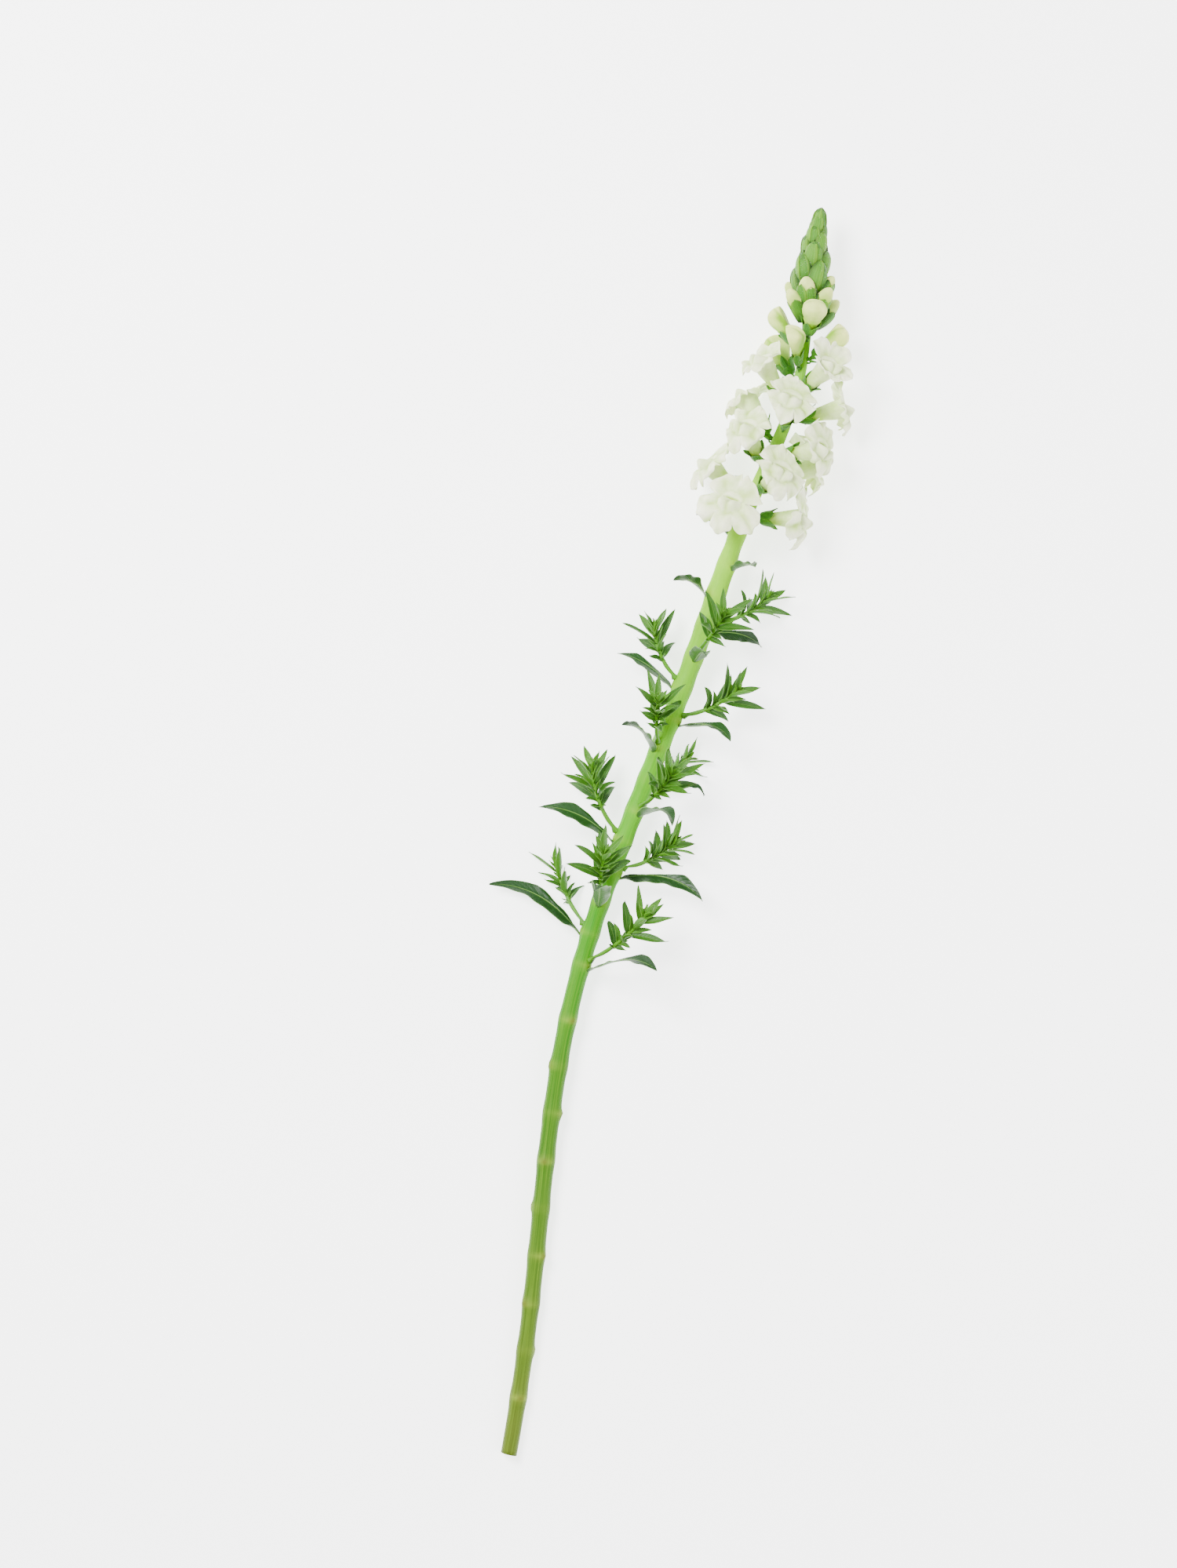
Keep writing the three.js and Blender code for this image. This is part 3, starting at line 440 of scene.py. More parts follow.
def sepalMaterial(name, middle, edge):
    # Sepal: thick, downy and matt, with faint ribs and a yellow-green edge, and painted shade in the cracks
    # between buds.
    material, tree, shader = newMaterial(name, 0.65, Subsurface_Weight=0.1, Subsurface_Scale=0.8 * mm,
                                         Specular_IOR_Level=0.25, Sheen_Weight=0.12, Sheen_Roughness=0.4)
    place = addNode(tree, "TexCoord", output="Object")
    side = addNode(tree, "Attribute", output="Fac", attribute_name="across")
    across = addNode(tree, "Math", (side,), operation="ABSOLUTE")
    shade = addNode(tree, "Attribute", output="Fac", attribute_name="shade")
    deep = addNode(tree, "Attribute", output="Fac", attribute_name="deep")
    patch = addNode(tree, "TexNoise", {"Vector": place, "Scale": 1 / (sepal["patch"] * mm), "Detail": 3.0})
    patches = addNode(tree, "Math", (patch, 0.5, shade), operation="MULTIPLY_ADD", use_clamp=True)
    share = addNode(tree, "Math", (patches, 0.5), operation="MULTIPLY")
    base = addNode(tree, "Mix", {0: share, 6: colour(middle), 7: colour(edge)}, 2, data_type="RGBA")
    edging = addNode(tree, "Math", (across, 2.2, -1.1), operation="MULTIPLY_ADD", use_clamp=True)
    share = addNode(tree, "Math", (edging, 0.65), operation="MULTIPLY")
    base = addNode(tree, "Mix", {0: share, 6: base, 7: colour(edge)}, 2, data_type="RGBA")
    # painted shade: the surface darkens towards the crack colour between packed buds
    share = addNode(tree, "Math", (deep, 0.85), operation="MULTIPLY")
    base = addNode(tree, "Mix", {0: share, 6: base, 7: colour(sepal["crackShade"])}, 2, data_type="RGBA")
    phase = addNode(tree, "Math", (side, sepal["ribs"]), operation="MULTIPLY")
    ribs = addNode(tree, "Math", (addNode(tree, "Math", (phase,), operation="SINE"),), operation="ABSOLUTE")
    grain = addNode(tree, "TexNoise", {"Vector": place, "Scale": 1 / (sepal["grain"] * mm), "Detail": 2.0})
    coat(tree, shader, base, addNode(tree, "Math", (ribs, grain), operation="ADD"), sepal["depth"])
    return material


whitePetal = petalMaterial("whitePetal", "#fbfddc", "#9cc41c")
creamBud = petalMaterial("creamBudPetal", "#edf294", "#80b00c")
darkLeaf = leafMaterial("darkLeaf", "#0b290d", "#416b2b", "#20550b", 0.42, 8)
youngLeaf = leafMaterial("youngLeaf", "#103d08", "#3c701c", "#51900c", 0.45, 6)
waxyStalk = stalkMaterial()
calyxGreen = sepalMaterial("calyxGreen", "#205f08", "#5c9a0e")
budGreen = sepalMaterial("downyBudGreen", "#317116", "#7aac24")
print("materials made")


# Blades: stem leaves, bracts and shoot leaves share one line and one section

blade = {"steps": 12, "curling": 1.2, "crowding": 0.9, "fullness": 0.85, "fold": 24, "edge": 0.35,
         "midrib": 0.9, "midribWidth": 0.12, "groove": 0.55, "grooveWidth": 0.1, "clear": 0.45}
ripples = {"waves": 9, "edgeWaves": (23, 31), "second": 0.6, "fullAt": 6}
leaf = {
    "thickness": 0.7, "columns": 15, "rows": 40, "flutter": 0.55, "pale": True,
    "lengths": (64, 23), "lengthDraw": (0.9, 1.1), "widths": (14, 11.5), "bellies": (0.75, 0.62),
    "leave": (52, 62), "curl": (104, 128), "yaw": (-32, 32), "twist": (35, 75), "wave": 0.7,
    "at": -0.004, "sunk": 1.0, "roomAt": (0, 0.2, 0.45, 0.7, 0.9), "roomRadii": (2, 4, 4, 4, 4),
}
shoot = {
    "thickness": 0.5, "columns": 9, "rows": 16, "flutter": 0, "pale": True, "clear": 2, "tuft": 7,
    "lengths": (36, 48), "lengthShares": (1, 0.7), "leave": (52, 60), "curl": (18, 34), "yaw": (-14, 14),
    "at": 0.005, "turn": (-8, 8), "roomAt": (0, 0.3, 0.6, 0.9, 1.15), "roomRadii": (2, 5, 8, 9, 8),
    "mostPairs": 6, "leastPairs": 5,
}
press = {"blade": 1, "lip": 3}
footing = {"seated": 0.2, "leaf": 0.8, "shoot": 1.25}
grownSoftness = 2.5   # of the walls between leaves and shoots


def bladeLine(root, shape, shares):
    shares = np.asarray(shares, float)
    steps = blade["steps"]
    at = np.broadcast_to(root["at"], shares.shape + (3,)).copy()
    for n in range(steps + 1):
        s = shares * n / steps
        yaw = np.radians(shape["yaw"] * s)
        out = scaled(root["out"], np.cos(yaw)) + scaled(root["cross"], np.sin(yaw))
        angle = np.radians(mix(shape["leave"], shape["curl"], s ** blade["curling"]))
        heading = scaled(root["along"], np.cos(angle)) + np.sin(angle)[..., None] * out
        upper = scaled(root["along"], np.sin(angle)) - np.cos(angle)[..., None] * out
        if n < steps:
            at += scaled(heading, shape["length"] * shares / steps)
    across = np.cross(heading, upper)
    turn = np.radians(shape["twist"]) * across[..., 2] * limit(shares * 6)
    cosine, sine = np.cos(turn)[..., None], np.sin(turn)[..., None]
    return {"at": at, "along": heading, "upper": upper * cosine + across * sine,
            "across": across * cosine - upper * sine}


def bladeHalfWidth(shape, s):
    leafy = np.sin(np.pi * np.minimum(s, 1) ** shape["belly"]).clip(0) ** blade["fullness"]
    return 0.5 * shape["width"] * np.maximum(leafy, 0.2 * (1 - s))


def addBlade(bm, root, shape, room, size, foot, shade, phase):
    s = (np.linspace(0, 1, size["rows"]) ** blade["crowding"])[:, None]
    x = np.linspace(-1, 1, size["columns"])[None]
    line = bladeLine(root, shape, s[:, 0])
    width = bladeHalfWidth(shape, s)
    fold = math.radians(blade["fold"])
    wave = shape["wave"] * np.sin(s * ripples["waves"] + shape["yaw"]) * limit(s * 3)
    first, second = ripples["edgeWaves"]
    edge = np.sin(s * first + 9 * phase) * np.sign(x) + ripples["second"] * np.cos(s * second + 5 * phase)
    flutter = size["flutter"] * edge * np.abs(x) ** 3 * width / ripples["fullAt"]
    raised = width * math.sin(fold) * np.abs(x) ** 1.5 - wave * x + flutter
    mid = (line["at"][:, None] + scaled(line["across"][:, None], width * math.cos(fold) * x)
           + scaled(line["upper"][:, None], raised))
    half = size["thickness"] / 2 * mix(blade["edge"], 1, 1 - np.abs(x) ** 4) * mix(1, 0.5, s)
    half = half * (1 + blade["midrib"] * np.exp(-(x / blade["midribWidth"]) ** 2))
    mid = np.concatenate([mid[:1], bend(mid[1:], room, blade["clear"] + clear, blade["clear"])])
    normal = surfaceNormals(mid)
    groove = blade["groove"] * np.exp(-(x / blade["grooveWidth"]) ** 2) * half
    loop = onTable(roundEdge(mid + (half - groove)[..., None] * normal, mid - half[..., None] * normal))
    tip = mid[-1, size["columns"] // 2]
    facingUp = np.mean(normal @ vec(0, 0, 1) * line["upper"][:, 2:3]) > 0
    above, below = (0 * x, 0 * x + size["pale"]) if facingUp else (0 * x + size["pale"], 0 * x)
    wrapGrid(bm, np.concatenate([pole(foot, loop), loop, pole(tip, loop)]), shade=shade,
             along=np.concatenate([[[0]], s, [[1]]]), across=roundEdge(x, x), under=roundEdge(above, below))


def grownPlan(skin, shape, size, n, depth):   # a leaf or a shoot, its foot in the stalk, with its own room
    root = {**skin, "at": skin["at"] + skin["out"] * depth}
    balls = list(zip(bladeLine(root, shape, size["roomAt"])["at"], size["roomRadii"]))
    return {"root": root, "foot": skin["at"] + skin["out"] * footing["seated"], "shape": shape, "n": n,
            "room": addRoom(balls, grownSoftness, skin)}


def leafPlan(t, n):
    grade = n / (leafyJoints["count"] - 1)
    shape = {
        "length": mix(*leaf["lengths"], grade ** 1.1) * drawn(leaf["lengthDraw"], n, 1),
        "width": mix(*leaf["widths"], grade),
        "belly": mix(*leaf["bellies"], grade),
        "leave": drawn(leaf["leave"], n, 2),
        "curl": drawn(leaf["curl"], n, 3),
        "yaw": drawn(leaf["yaw"], n, 4),
        "twist": drawn(leaf["twist"], n, 14),
        "wave": leaf["wave"],
    }
    skin = stalkFlat(t + leaf["at"], azimuthOf(leafyJoints["azimuth"], n))
    return {**grownPlan(skin, shape, leaf, n, footing["leaf"]), "grade": grade}


def shootPlan(t, n):
    shape = {
        "length": drawn(shoot["lengths"], n, 6) * mix(*shoot["lengthShares"], n / leafyJoints["shoots"]),
        "leave": drawn(shoot["leave"], n, 7),
        "curl": drawn(shoot["curl"], n, 8),
        "yaw": drawn(shoot["yaw"], n, 9),
        "twist": 0,
    }
    skin = stalkFlat(t + shoot["at"], azimuthOf(leafyJoints["azimuth"], n) + drawn(shoot["turn"], n, 5))
    pairs = shoot["mostPairs"] if n < leafyJoints["shoots"] / 2 else shoot["leastPairs"]
    return {**grownPlan(skin, shape, shoot, n, footing["shoot"]), "pairs": pairs}


leafPlans = [leafPlan(t, n) for n, t in enumerate(placesOf(leafyJoints))]
shootPlans = [shootPlan(t, n) for n, t in enumerate(placesOf(leafyJoints)[:leafyJoints["shoots"]])]


# Where flowers and buds stand. A ball of room is its place aside, up and along the axis, and its radius

flowering = {
    "lean": (68, 50), "leanDraw": (-5, 5), "lowLean": 34, "lowFrom": 95, "lowOver": 40,
    "sizes": (1.1, 0.92), "lastOpen": (0.75, 0.5), "softness": 3.5,
    "room": ((0, 0, -2, 4.5), (0, 0, 5, 6.5), (0, 0, 14, 6.5), (0, 0, 25, 8), (0, 11, 24, 8), (8, 4, 24, 8),
             (-8, 4, 24, 8), (0, -8, 23, 7)),
}
budding = {"lean": (46, 36), "pedicel": 0.9, "sizes": (0.98, 0.8), "softness": 3,
           "room": ((-2, 4.5), (5, 6.5), (12, 7), (19, 8))}
loose = {"lean": (36, 24), "pedicel": 2.5, "lengths": (23, 20), "width": 12, "ball": 5}
cone = {"lean": (17, 2), "lengths": (21, 12.5), "widths": (13, 8.8), "stand": (4.2, 0.5)}
headBalls = ((0.908, 5), (0.93, 10), (0.95, 11.5), (0.972, 9), (0.992, 5))   # place on the stalk and radius
headSoftness = 2
calyx = {
    "sepals": 5, "length": 9.2, "width": 6.2, "pedicel": 4, "thickness": 0.55, "sides": 20,
    "lengthDraw": (0.92, 1.1), "spread": (0.2, 1.5), "rows": 11, "columns": 7,
    "cup": ((0.1, 2.2), (0.9, 3.3), (1.9, 3.95), (2.9, 4.3), (3.7, 4.4), (3.8, 4.0), (3.2, 2.0)),
}
bract = {"lengths": (16, 8), "from": 0.74, "over": 0.13, "width": 5.4, "rows": 20, "columns": 9,
         "thickness": 0.7, "flutter": 0, "pale": False, "below": 2.8, "sunk": 1.6}


def bloomFrame(t, azimuth, lean, pedicel):
    skin = stalkSkin(t, azimuth)
    cosine, sine = math.cos(math.radians(lean)), math.sin(math.radians(lean))
    axis = skin["along"] * cosine + skin["out"] * sine
    up = skin["along"] * sine - skin["out"] * cosine
    rise = unit(axis * 0.6 + skin["out"] * 0.4)
    return {"skin": skin, "axis": axis, "up": up, "side": np.cross(up, axis), "rise": rise,
            "bract": mix(*bract["lengths"], float(limit((t - bract["from"]) / bract["over"]))),
            "at": skin["at"] + rise * pedicel}


def inBloom(place, u, v, w):
    return place["at"] + scaled(place["side"], u) + scaled(place["up"], v) + scaled(place["axis"], w)


def flowerPlan(n):
    azimuth = azimuthOf(spike["azimuth"], n)
    low = float(limit((abs(azimuth) - flowering["lowFrom"]) / flowering["lowOver"]))
    lean = mix(mix(*flowering["lean"], n / spike["flowers"]), flowering["lowLean"], low)
    lean += drawn(flowering["leanDraw"], n, 21)
    place = bloomFrame(spike["flowersFrom"] + n * spike["flowerStep"], azimuth, lean, calyx["pedicel"])
    last = n - spike["flowers"] + 2
    opening = 1 if last < 0 else mix(*flowering["lastOpen"], last)
    balls = [(inBloom(place, u, v, w), radius) for u, v, w, radius in flowering["room"]]
    return {"n": n, "place": place, "open": opening, "size": mix(*flowering["sizes"], n / spike["flowers"]),
            "room": addRoom(balls, flowering["softness"], place["skin"])}


def budPlan(n):
    rank = spike["flowers"] + n
    place = bloomFrame(spike["budsFrom"] + n * spike["budStep"], azimuthOf(spike["azimuth"], rank),
                       mix(*budding["lean"], n / spike["buds"]), calyx["pedicel"] * budding["pedicel"])
    size = mix(*budding["sizes"], n / spike["buds"])
    balls = [(inBloom(place, 0, 0, w * size), radius * size) for w, radius in budding["room"]]
    return {"n": n, "place": place, "size": size, "room": addRoom(balls, budding["softness"], place["skin"])}


def loosePlan(n):
    rank = spike["flowers"] + spike["buds"] + n
    share = n / spike["looseBuds"]
    place = bloomFrame(spike["looseFrom"] + n * spike["looseStep"], azimuthOf(spike["azimuth"], rank),
                       mix(*loose["lean"], share), loose["pedicel"])
    return {"place": place, "length": mix(*loose["lengths"], share), "width": loose["width"], "n": n}


def conePlan(n):
    rank = spike["flowers"] + spike["buds"] + spike["looseBuds"] + n
    share = n / (spike["coneBuds"] - 1)
    t = mix(spike["coneFrom"], spike["coneTo"], share ** 0.9)
    azimuth = (rank * goldenAngle + spike["azimuth"]) % 360
    place = bloomFrame(t, azimuth, mix(*cone["lean"], share), 0)
    stand = mix(*cone["stand"], share ** 1.5) - stalkRadius(t)
    place["at"] = place["skin"]["at"] + place["skin"]["out"] * stand
    return {"place": place, "length": mix(*cone["lengths"], share), "width": mix(*cone["widths"], share),
            "n": n}


flowerPlans = [flowerPlan(n) for n in range(spike["flowers"])]
budPlans = [budPlan(n) for n in range(spike["buds"])]
loosePlans = [loosePlan(n) for n in range(spike["looseBuds"])]
conePlans = [conePlan(n) for n in range(spike["coneBuds"])]
looseBalls = [(inBloom(plan["place"], 0, 0, plan["length"] * 0.6), loose["ball"]) for plan in loosePlans]
headRoom = addRoom([(stalkCentre(t), radius) for t, radius in headBalls] + looseBalls, headSoftness)
raiseWalls()
print("rooms parted:", len(rooms))


# Open flowers. A sheet runs up the tube, out along the back of the lips and in over their front to the palate

corolla = {
    "base": 1.6, "tube": 24, "mouth": 6.6, "sheet": 0.7, "edge": 0.45, "columns": 144, "lipRows": 20,
    "profile": ((0, 0), (0.4, 1.6), (1.2, 2.5), (3, 3.5), (5.5, 4.05), (8, 4.2), (12, 4.75), (15, 5.35),
                (18, 5.95), (21, 6.35), (23.2, 6.55)),   # distance from the base and radius
}
# the fold, gap and midline values paint yellow-green shade in the valleys of the lips' folds, in the mouth
# gap and along the palate's furrow; the rest tint the petal's own colour
corollaTintAndShade = {"foldShade": 0.5, "foldDepth": 2.2, "tube": (0.95, 0.35), "back": 0.34, "front": 0.6,
               "throat": 0.22, "gap": 0.7, "midline": 0.25, "dot": 0.9}
lobes = (   # degrees round the mouth, 90 is the middle of the upper lip, with reach and the clefts beside it
    (15, 90, 20.5, 9.5, 13.5), (90, 165, 20.5, 13.5, 9.5), (165, 240, 17.5, 9.5, 11),
    (240, 300, 15.5, 11, 11), (300, 375, 17.5, 11, 9.5),
)
crinkles = ((13, 0.03, 31), (22, 0.02, 32))   # waves round a margin, how deep, and the salt of the draw
ruffles = ((5, 0, 1.25, 2, 22), (11, 0, 1.1, 2.5, 33), (18, 4, 0.6, 2.5, 34))   # as below, growth and salt
crumples = ((6, 5, 0.5), (9, -7, 0.4), (15, 9, 0.22))   # waves round, waves outwards and depth
creases = {"at": (52, 128, 202, 338), "width": 9, "depth": 1.2}
palate = {"height": 4.5, "apart": 3.4, "drop": 2.4, "width": 3.6, "rows": 18, "radius": 6.3, "swell": 0.7,
          "gapAt": 2.7, "gapHeight": 0.75, "gapReach": 4.6, "gapDepth": 2.4, "furrow": 0.8}


def lobeReach(degrees):
    first = lobes[0][0]
    angle = (degrees - first) % 360 + first
    reach = np.zeros_like(angle)
    for start, end, far, cleftFrom, cleftTo in lobes:
        across = np.clip((2 * angle - start - end) / (end - start), -1, 1)
        cleft = mix(cleftFrom, cleftTo, (across + 1) / 2)
        lobe = cleft + (far - cleft) * (1 - np.abs(across) ** 2.6) ** 0.6
        reach = np.where((angle >= start) & (angle <= end), lobe, reach)
    return reach


def lipMid(flower, shares, degrees):
    n, opening, place, mouth = flower["n"], flower["open"], flower["place"], corolla["mouth"]
    angle, share = np.radians(degrees)[None], shares[:, None]
    heading = scaled(place["side"], np.cos(angle[0])) + scaled(place["up"], np.sin(angle[0]))
    tubeEnd = corolla["base"] + corolla["tube"]
    spread = mouth + (lobeReach(degrees) * flower["size"] - mouth) * mix(0.5, 1, opening)
    reach = fittingLength(spread, inBloom(place, 0, 0, tubeEnd), heading, flower["room"], press["lip"])[None]
    crinkle = 1.12
    for around, depth, salt in crinkles:
        crinkle = crinkle + depth * np.sin(around * angle + 9 * draw(n, salt))
    r = mix(mouth, mix(mouth, reach, crinkle), share)
    lift = np.sin(angle)
    fold = np.where(lift > 0, mix(0.42, 0.18, lift), mix(0.42, 0.8, -lift))
    swell = 1.4 + 1.6 * np.maximum(0, -lift)
    bent = (reach - mouth) * (1.1 * (1 - opening) * share - fold * opening * share ** 2)
    waves = 0
    for around, outwards, depth, growth, salt in ruffles:
        phase = outwards * share + 6 * draw(n, salt)
        waves = waves + opening * depth * share ** growth * np.sin(around * angle + phase)
    for around, outwards, depth in crumples:
        waves = waves + depth * share * np.sin(around * angle + outwards * share + 7 * draw(n, around))
    near = sum(np.exp(-((degrees[None] - at) / creases["width"]) ** 2) for at in creases["at"])
    waves = waves - creases["depth"] * opening * np.sin(np.pi * limit(share * 1.05)) * near
    w = tubeEnd + swell * np.sin(np.minimum(1, 2 * share) * np.pi / 2) + bent + waves
    return inBloom(place, r * np.cos(angle), r * np.sin(angle), w), waves


def palateMid(flower, radii, degrees):
    angle = np.radians(degrees)[None]
    u, v = radii[:, None] * np.cos(angle), radii[:, None] * np.sin(angle)
    hump = sum(np.exp(-((u - side * palate["apart"]) ** 2 + (v + palate["drop"]) ** 2) / palate["width"] ** 2)
               for side in (-1, 1))
    gap = np.exp(-((v - palate["gapAt"]) / palate["gapHeight"]) ** 2 - (u / palate["gapReach"]) ** 4)
    furrow = np.exp(-(u / 0.8) ** 2) * limit((1.5 - v) / 2)
    w = corolla["base"] + corolla["tube"] + 1 + (palate["height"] + palate["swell"]) * hump
    w = w - palate["gapDepth"] * gap - palate["furrow"] * furrow
    return inBloom(flower["place"], u, v, w), u, v, gap


def addFlower(bm, flower):
    place, room, tint = flower["place"], flower["room"], corollaTintAndShade
    degrees = np.linspace(0, 360, corolla["columns"], endpoint=False)
    angle = np.radians(degrees)[None]
    depth, radius = (np.array(values, float)[:, None] for values in zip(*corolla["profile"]))
    keel = 1 + 0.05 * np.cos(2 * angle) * limit(depth / 10)
    keel = keel - 0.03 * np.abs(np.sin(3 * angle)) * limit(depth / 6)
    r = radius * keel
    tube = inBloom(place, r * np.cos(angle), r * np.sin(angle), corolla["base"] + depth)
    tube = bend(tube, room, nested)
    shares = np.linspace(0, 1, corolla["lipRows"] + 1)[1:] ** 0.85
    half = corolla["sheet"] / 2
    mid, waves = lipMid(flower, shares, degrees)
    mid = bend(mid, room, half + clear, half)
    normal = surfaceNormals(np.concatenate([mid[:, -1:], mid, mid[:, :1]], axis=1))[:, 1:-1]
    outwards = 1 if np.mean(normal[2] @ place["axis"]) > 0 else -1
    sheet = outwards * (half * mix(1, corolla["edge"], shares ** 3))[:, None, None] * normal
    throat, u, v, gap = palateMid(flower, np.linspace(palate["radius"], 0, palate["rows"]), degrees)
    throat = bend(throat, room, nested)
    points = onTable(np.concatenate([tube, mid - sheet, (mid + sheet)[::-1], throat]))
    far = np.broadcast_to(shares[:, None], waves.shape)
    ramp = mix(*tint["tube"], limit(depth / 23))
    # painted shade: yellow-green in the valleys of the folds on both faces of the lips, in the mouth gap and
    # along the palate's furrow
    back = mix(tint["back"], 0.0, far) + tint["foldShade"] * limit(waves / tint["foldDepth"])
    front = tint["front"] * (1 - far) ** 1.6 + tint["foldShade"] * limit(-waves / tint["foldDepth"])
    inside = tint["throat"] + tint["gap"] * gap + tint["midline"] * np.exp(-(u / 1.2) ** 2) * (v < 1)
    green = np.concatenate([np.broadcast_to(ramp, tube.shape[:2]), back, front[::-1], inside])
    dot = np.zeros_like(green)
    dot[-palate["rows"]:] = tint["dot"] * np.exp(-(u / 1.1) ** 2 - ((v - 2.1) / 0.8) ** 2)
    wrapGrid(bm, ringed(points), green=ringed(green), dot=ringed(dot))


# Pale buds

paleBud = {
    "length": 26, "sides": 64, "rows": 48,
    "profile": ((0, 0), (0.02, 1.4), (0.06, 2.3), (0.15, 3.4), (0.3, 4.3), (0.46, 6.2), (0.56, 7.6),
                (0.66, 8.6), (0.75, 8.9), (0.83, 8.5), (0.9, 7.3), (0.95, 5.7), (0.98, 3.9), (1, 0)),
    # the fold and keel values paint yellow-green shade along the bud's fold and up its outer keel
    "tint": (1.1, 0.15), "seamTint": 0.4, "foldShade": 0.75, "keelShade": 0.45,
}


def crowded(rows):   # shares of a length, closer at both its ends
    return 0.5 - 0.5 * np.cos(np.linspace(0, np.pi, rows))[:, None]


def addPaleBud(bm, bud):
    size = bud["size"]
    angle, s = fullTurn(paleBud["sides"]), crowded(paleBud["rows"])
    lift = np.sin(angle)
    r = np.interp(s, *zip(*paleBud["profile"])) * np.where(s > 0.42, size, min(1, size + 0.1))
    crease = 1 - 0.1 * limit(s * 2 - 0.6) * np.abs(lift) ** 3
    seam = np.exp(-((lift - mix(0.55, -0.1, s)) / 0.14) ** 2) * limit(s * 3 - 1)   # the upper lip's edge
    lobed = 1 - 0.09 * seam + 0.04 * limit(s * 2 - 0.8) * np.cos(5 * angle + 2 * bud["n"])
    points = inBloom(bud["place"], r * lobed * np.cos(angle), r * lobed * crease * lift + 0.6 * s ** 3,
                     corolla["base"] + paleBud["length"] * size * s)
    # painted shade: a yellow-green band along the fold and a streak up the outer keel from the base
    fold = np.exp(-((lift - mix(0.4, -0.25, s)) / 0.35) ** 2) * limit(s * 2 - 0.4) * (1 - s ** 3)
    keel = np.exp(-(np.cos(angle) / 0.3) ** 2) * (lift < 0) * limit(1.2 - s * 1.3)
    green = mix(*paleBud["tint"], limit(s * 1.1)) + paleBud["seamTint"] * seam * s
    green = green + paleBud["foldShade"] * fold + paleBud["keelShade"] * keel
    wrapGrid(bm, ringed(onTable(bend(points, bud["room"], nested))), green=ringed(green), dot=0.0)


def makeFlowers():
    for kind, plans, add, material, slot, node in (
            ("corolla", flowerPlans, addFlower, whitePetal, "petal_white", "flower"),
            ("creamBud", budPlans, addPaleBud, creamBud, "pale_bud", "pale_bud")):
        for plan in plans:
            bm = newShape("green", "dot")
            add(bm, plan)
            finishPiece(bm, f"{kind}{plan['n'] + 1:02d}", material, slot, f"{node}_{plan['n'] + 1:02d}")


# Calyces and bracts

def addSepal(bm, place, turn, room, form, shade):
    s = np.linspace(0, 1, calyx["rows"])[:, None]
    x = np.linspace(-1, 1, calyx["columns"])[None]
    radius = np.interp(s, *form["radius"])
    halfWidth = form["width"] / 2 * np.sin(np.pi * (0.2 + 0.8 * s) ** form["belly"]).clip(0) ** form["blunt"]
    angle = turn + x * halfWidth / np.maximum(radius, 1.5)
    hollow = -0.35 * (1 - x ** 2) * s + 0.25 * x ** 2 * s
    mid = inBloom(place, (radius + hollow) * np.cos(angle), (radius + hollow) * form["flat"] * np.sin(angle),
                  np.interp(s, *form["height"]))
    half = form["thickness"] / 2 * (1 - 0.6 * np.abs(x) ** 3) * mix(1, 0.6, s)
    mid = bend(mid, room, clear + form["thickness"] / 2, form["thickness"] / 2)
    normal = surfaceNormals(mid)
    loop = onTable(roundEdge(mid + half[..., None] * normal, mid - half[..., None] * normal))
    middle = calyx["columns"] // 2
    along = np.concatenate([[[0]], s, [[1]]])
    inwards = np.concatenate([angle[:1], angle, angle[-1:]])
    # painted shade: strongest at the sepal's base and on the side that faces in towards the stalk, scaled by
    # how packed the bud is
    deep = np.maximum(limit(1 + 1.5 * np.sin(inwards)), limit(1 - along / 0.5)) * form["crowdShade"]
    wrapGrid(bm, np.concatenate([pole(mid[0, middle], loop), loop, pole(mid[-1, middle], loop)]), along=along,
             across=roundEdge(x, x), under=0.0, shade=shade, deep=roundEdge(deep, deep))


def addPedicelAndCup(bm, place, room):
    skin = place["skin"]
    foot = skin["at"] - skin["out"] * 1.6
    turn = fullTurn(calyx["sides"])
    path = np.array([0, 0.12, 0.3, 0.55, 0.8, 1])[:, None]
    middle, end = skin["at"] + place["rise"] * 1.2, inBloom(place, 0, 0, -0.5)
    line = (1 - path) ** 2 * foot + 2 * path * (1 - path) * middle + path ** 2 * end
    r = np.interp(path, (0, 0.4, 1), (1.9, 1.35, 1.5))
    ring = scaled(place["side"], np.cos(turn)) + scaled(place["up"], np.sin(turn))
    pedicel = line[:, None] + r[..., None] * ring
    w, wide = (np.array(values)[:, None] for values in zip(*calyx["cup"]))
    cup = inBloom(place, wide * np.cos(turn), wide * np.sin(turn), w)
    shell = bend(np.concatenate([pedicel[1:], cup]), room, clear)
    shut = bend(inBloom(place, 0, 0, 3.0), room, clear)
    points = np.concatenate([pole(foot, shell), pedicel[:1], shell, pole(shut, shell)])
    wrapGrid(bm, onTable(ringed(points)), along=0.3, across=0.2, under=0.0, shade=0.25)


def addCalyx(bm, bloom, number):
    place, room, size = bloom["place"], bloom["room"], bloom["size"]
    addPedicelAndCup(bm, place, room)
    for k in range(calyx["sepals"]):
        each = number * calyx["sepals"] + k
        long = calyx["length"] * mix(0.9, 1, size) * drawn(calyx["lengthDraw"], each, 41)
        spread = drawn(calyx["spread"], each, 42)
        form = {
            "radius": ((0, 0.3, 0.6, 0.85, 1), (3.4, 4.4, 4.9, 5.5 + 0.5 * spread, 5.9 + spread)),
            "height": ((0, 1), (1.0, 1.0 + long)), "width": calyx["width"], "belly": 1.35, "blunt": 0.75,
            "thickness": calyx["thickness"], "flat": 1.0, "crowdShade": 0,
        }
        addSepal(bm, place, 2 * math.pi * (k + 0.25) / calyx["sepals"], room, form, 0.5 * draw(each, 43))


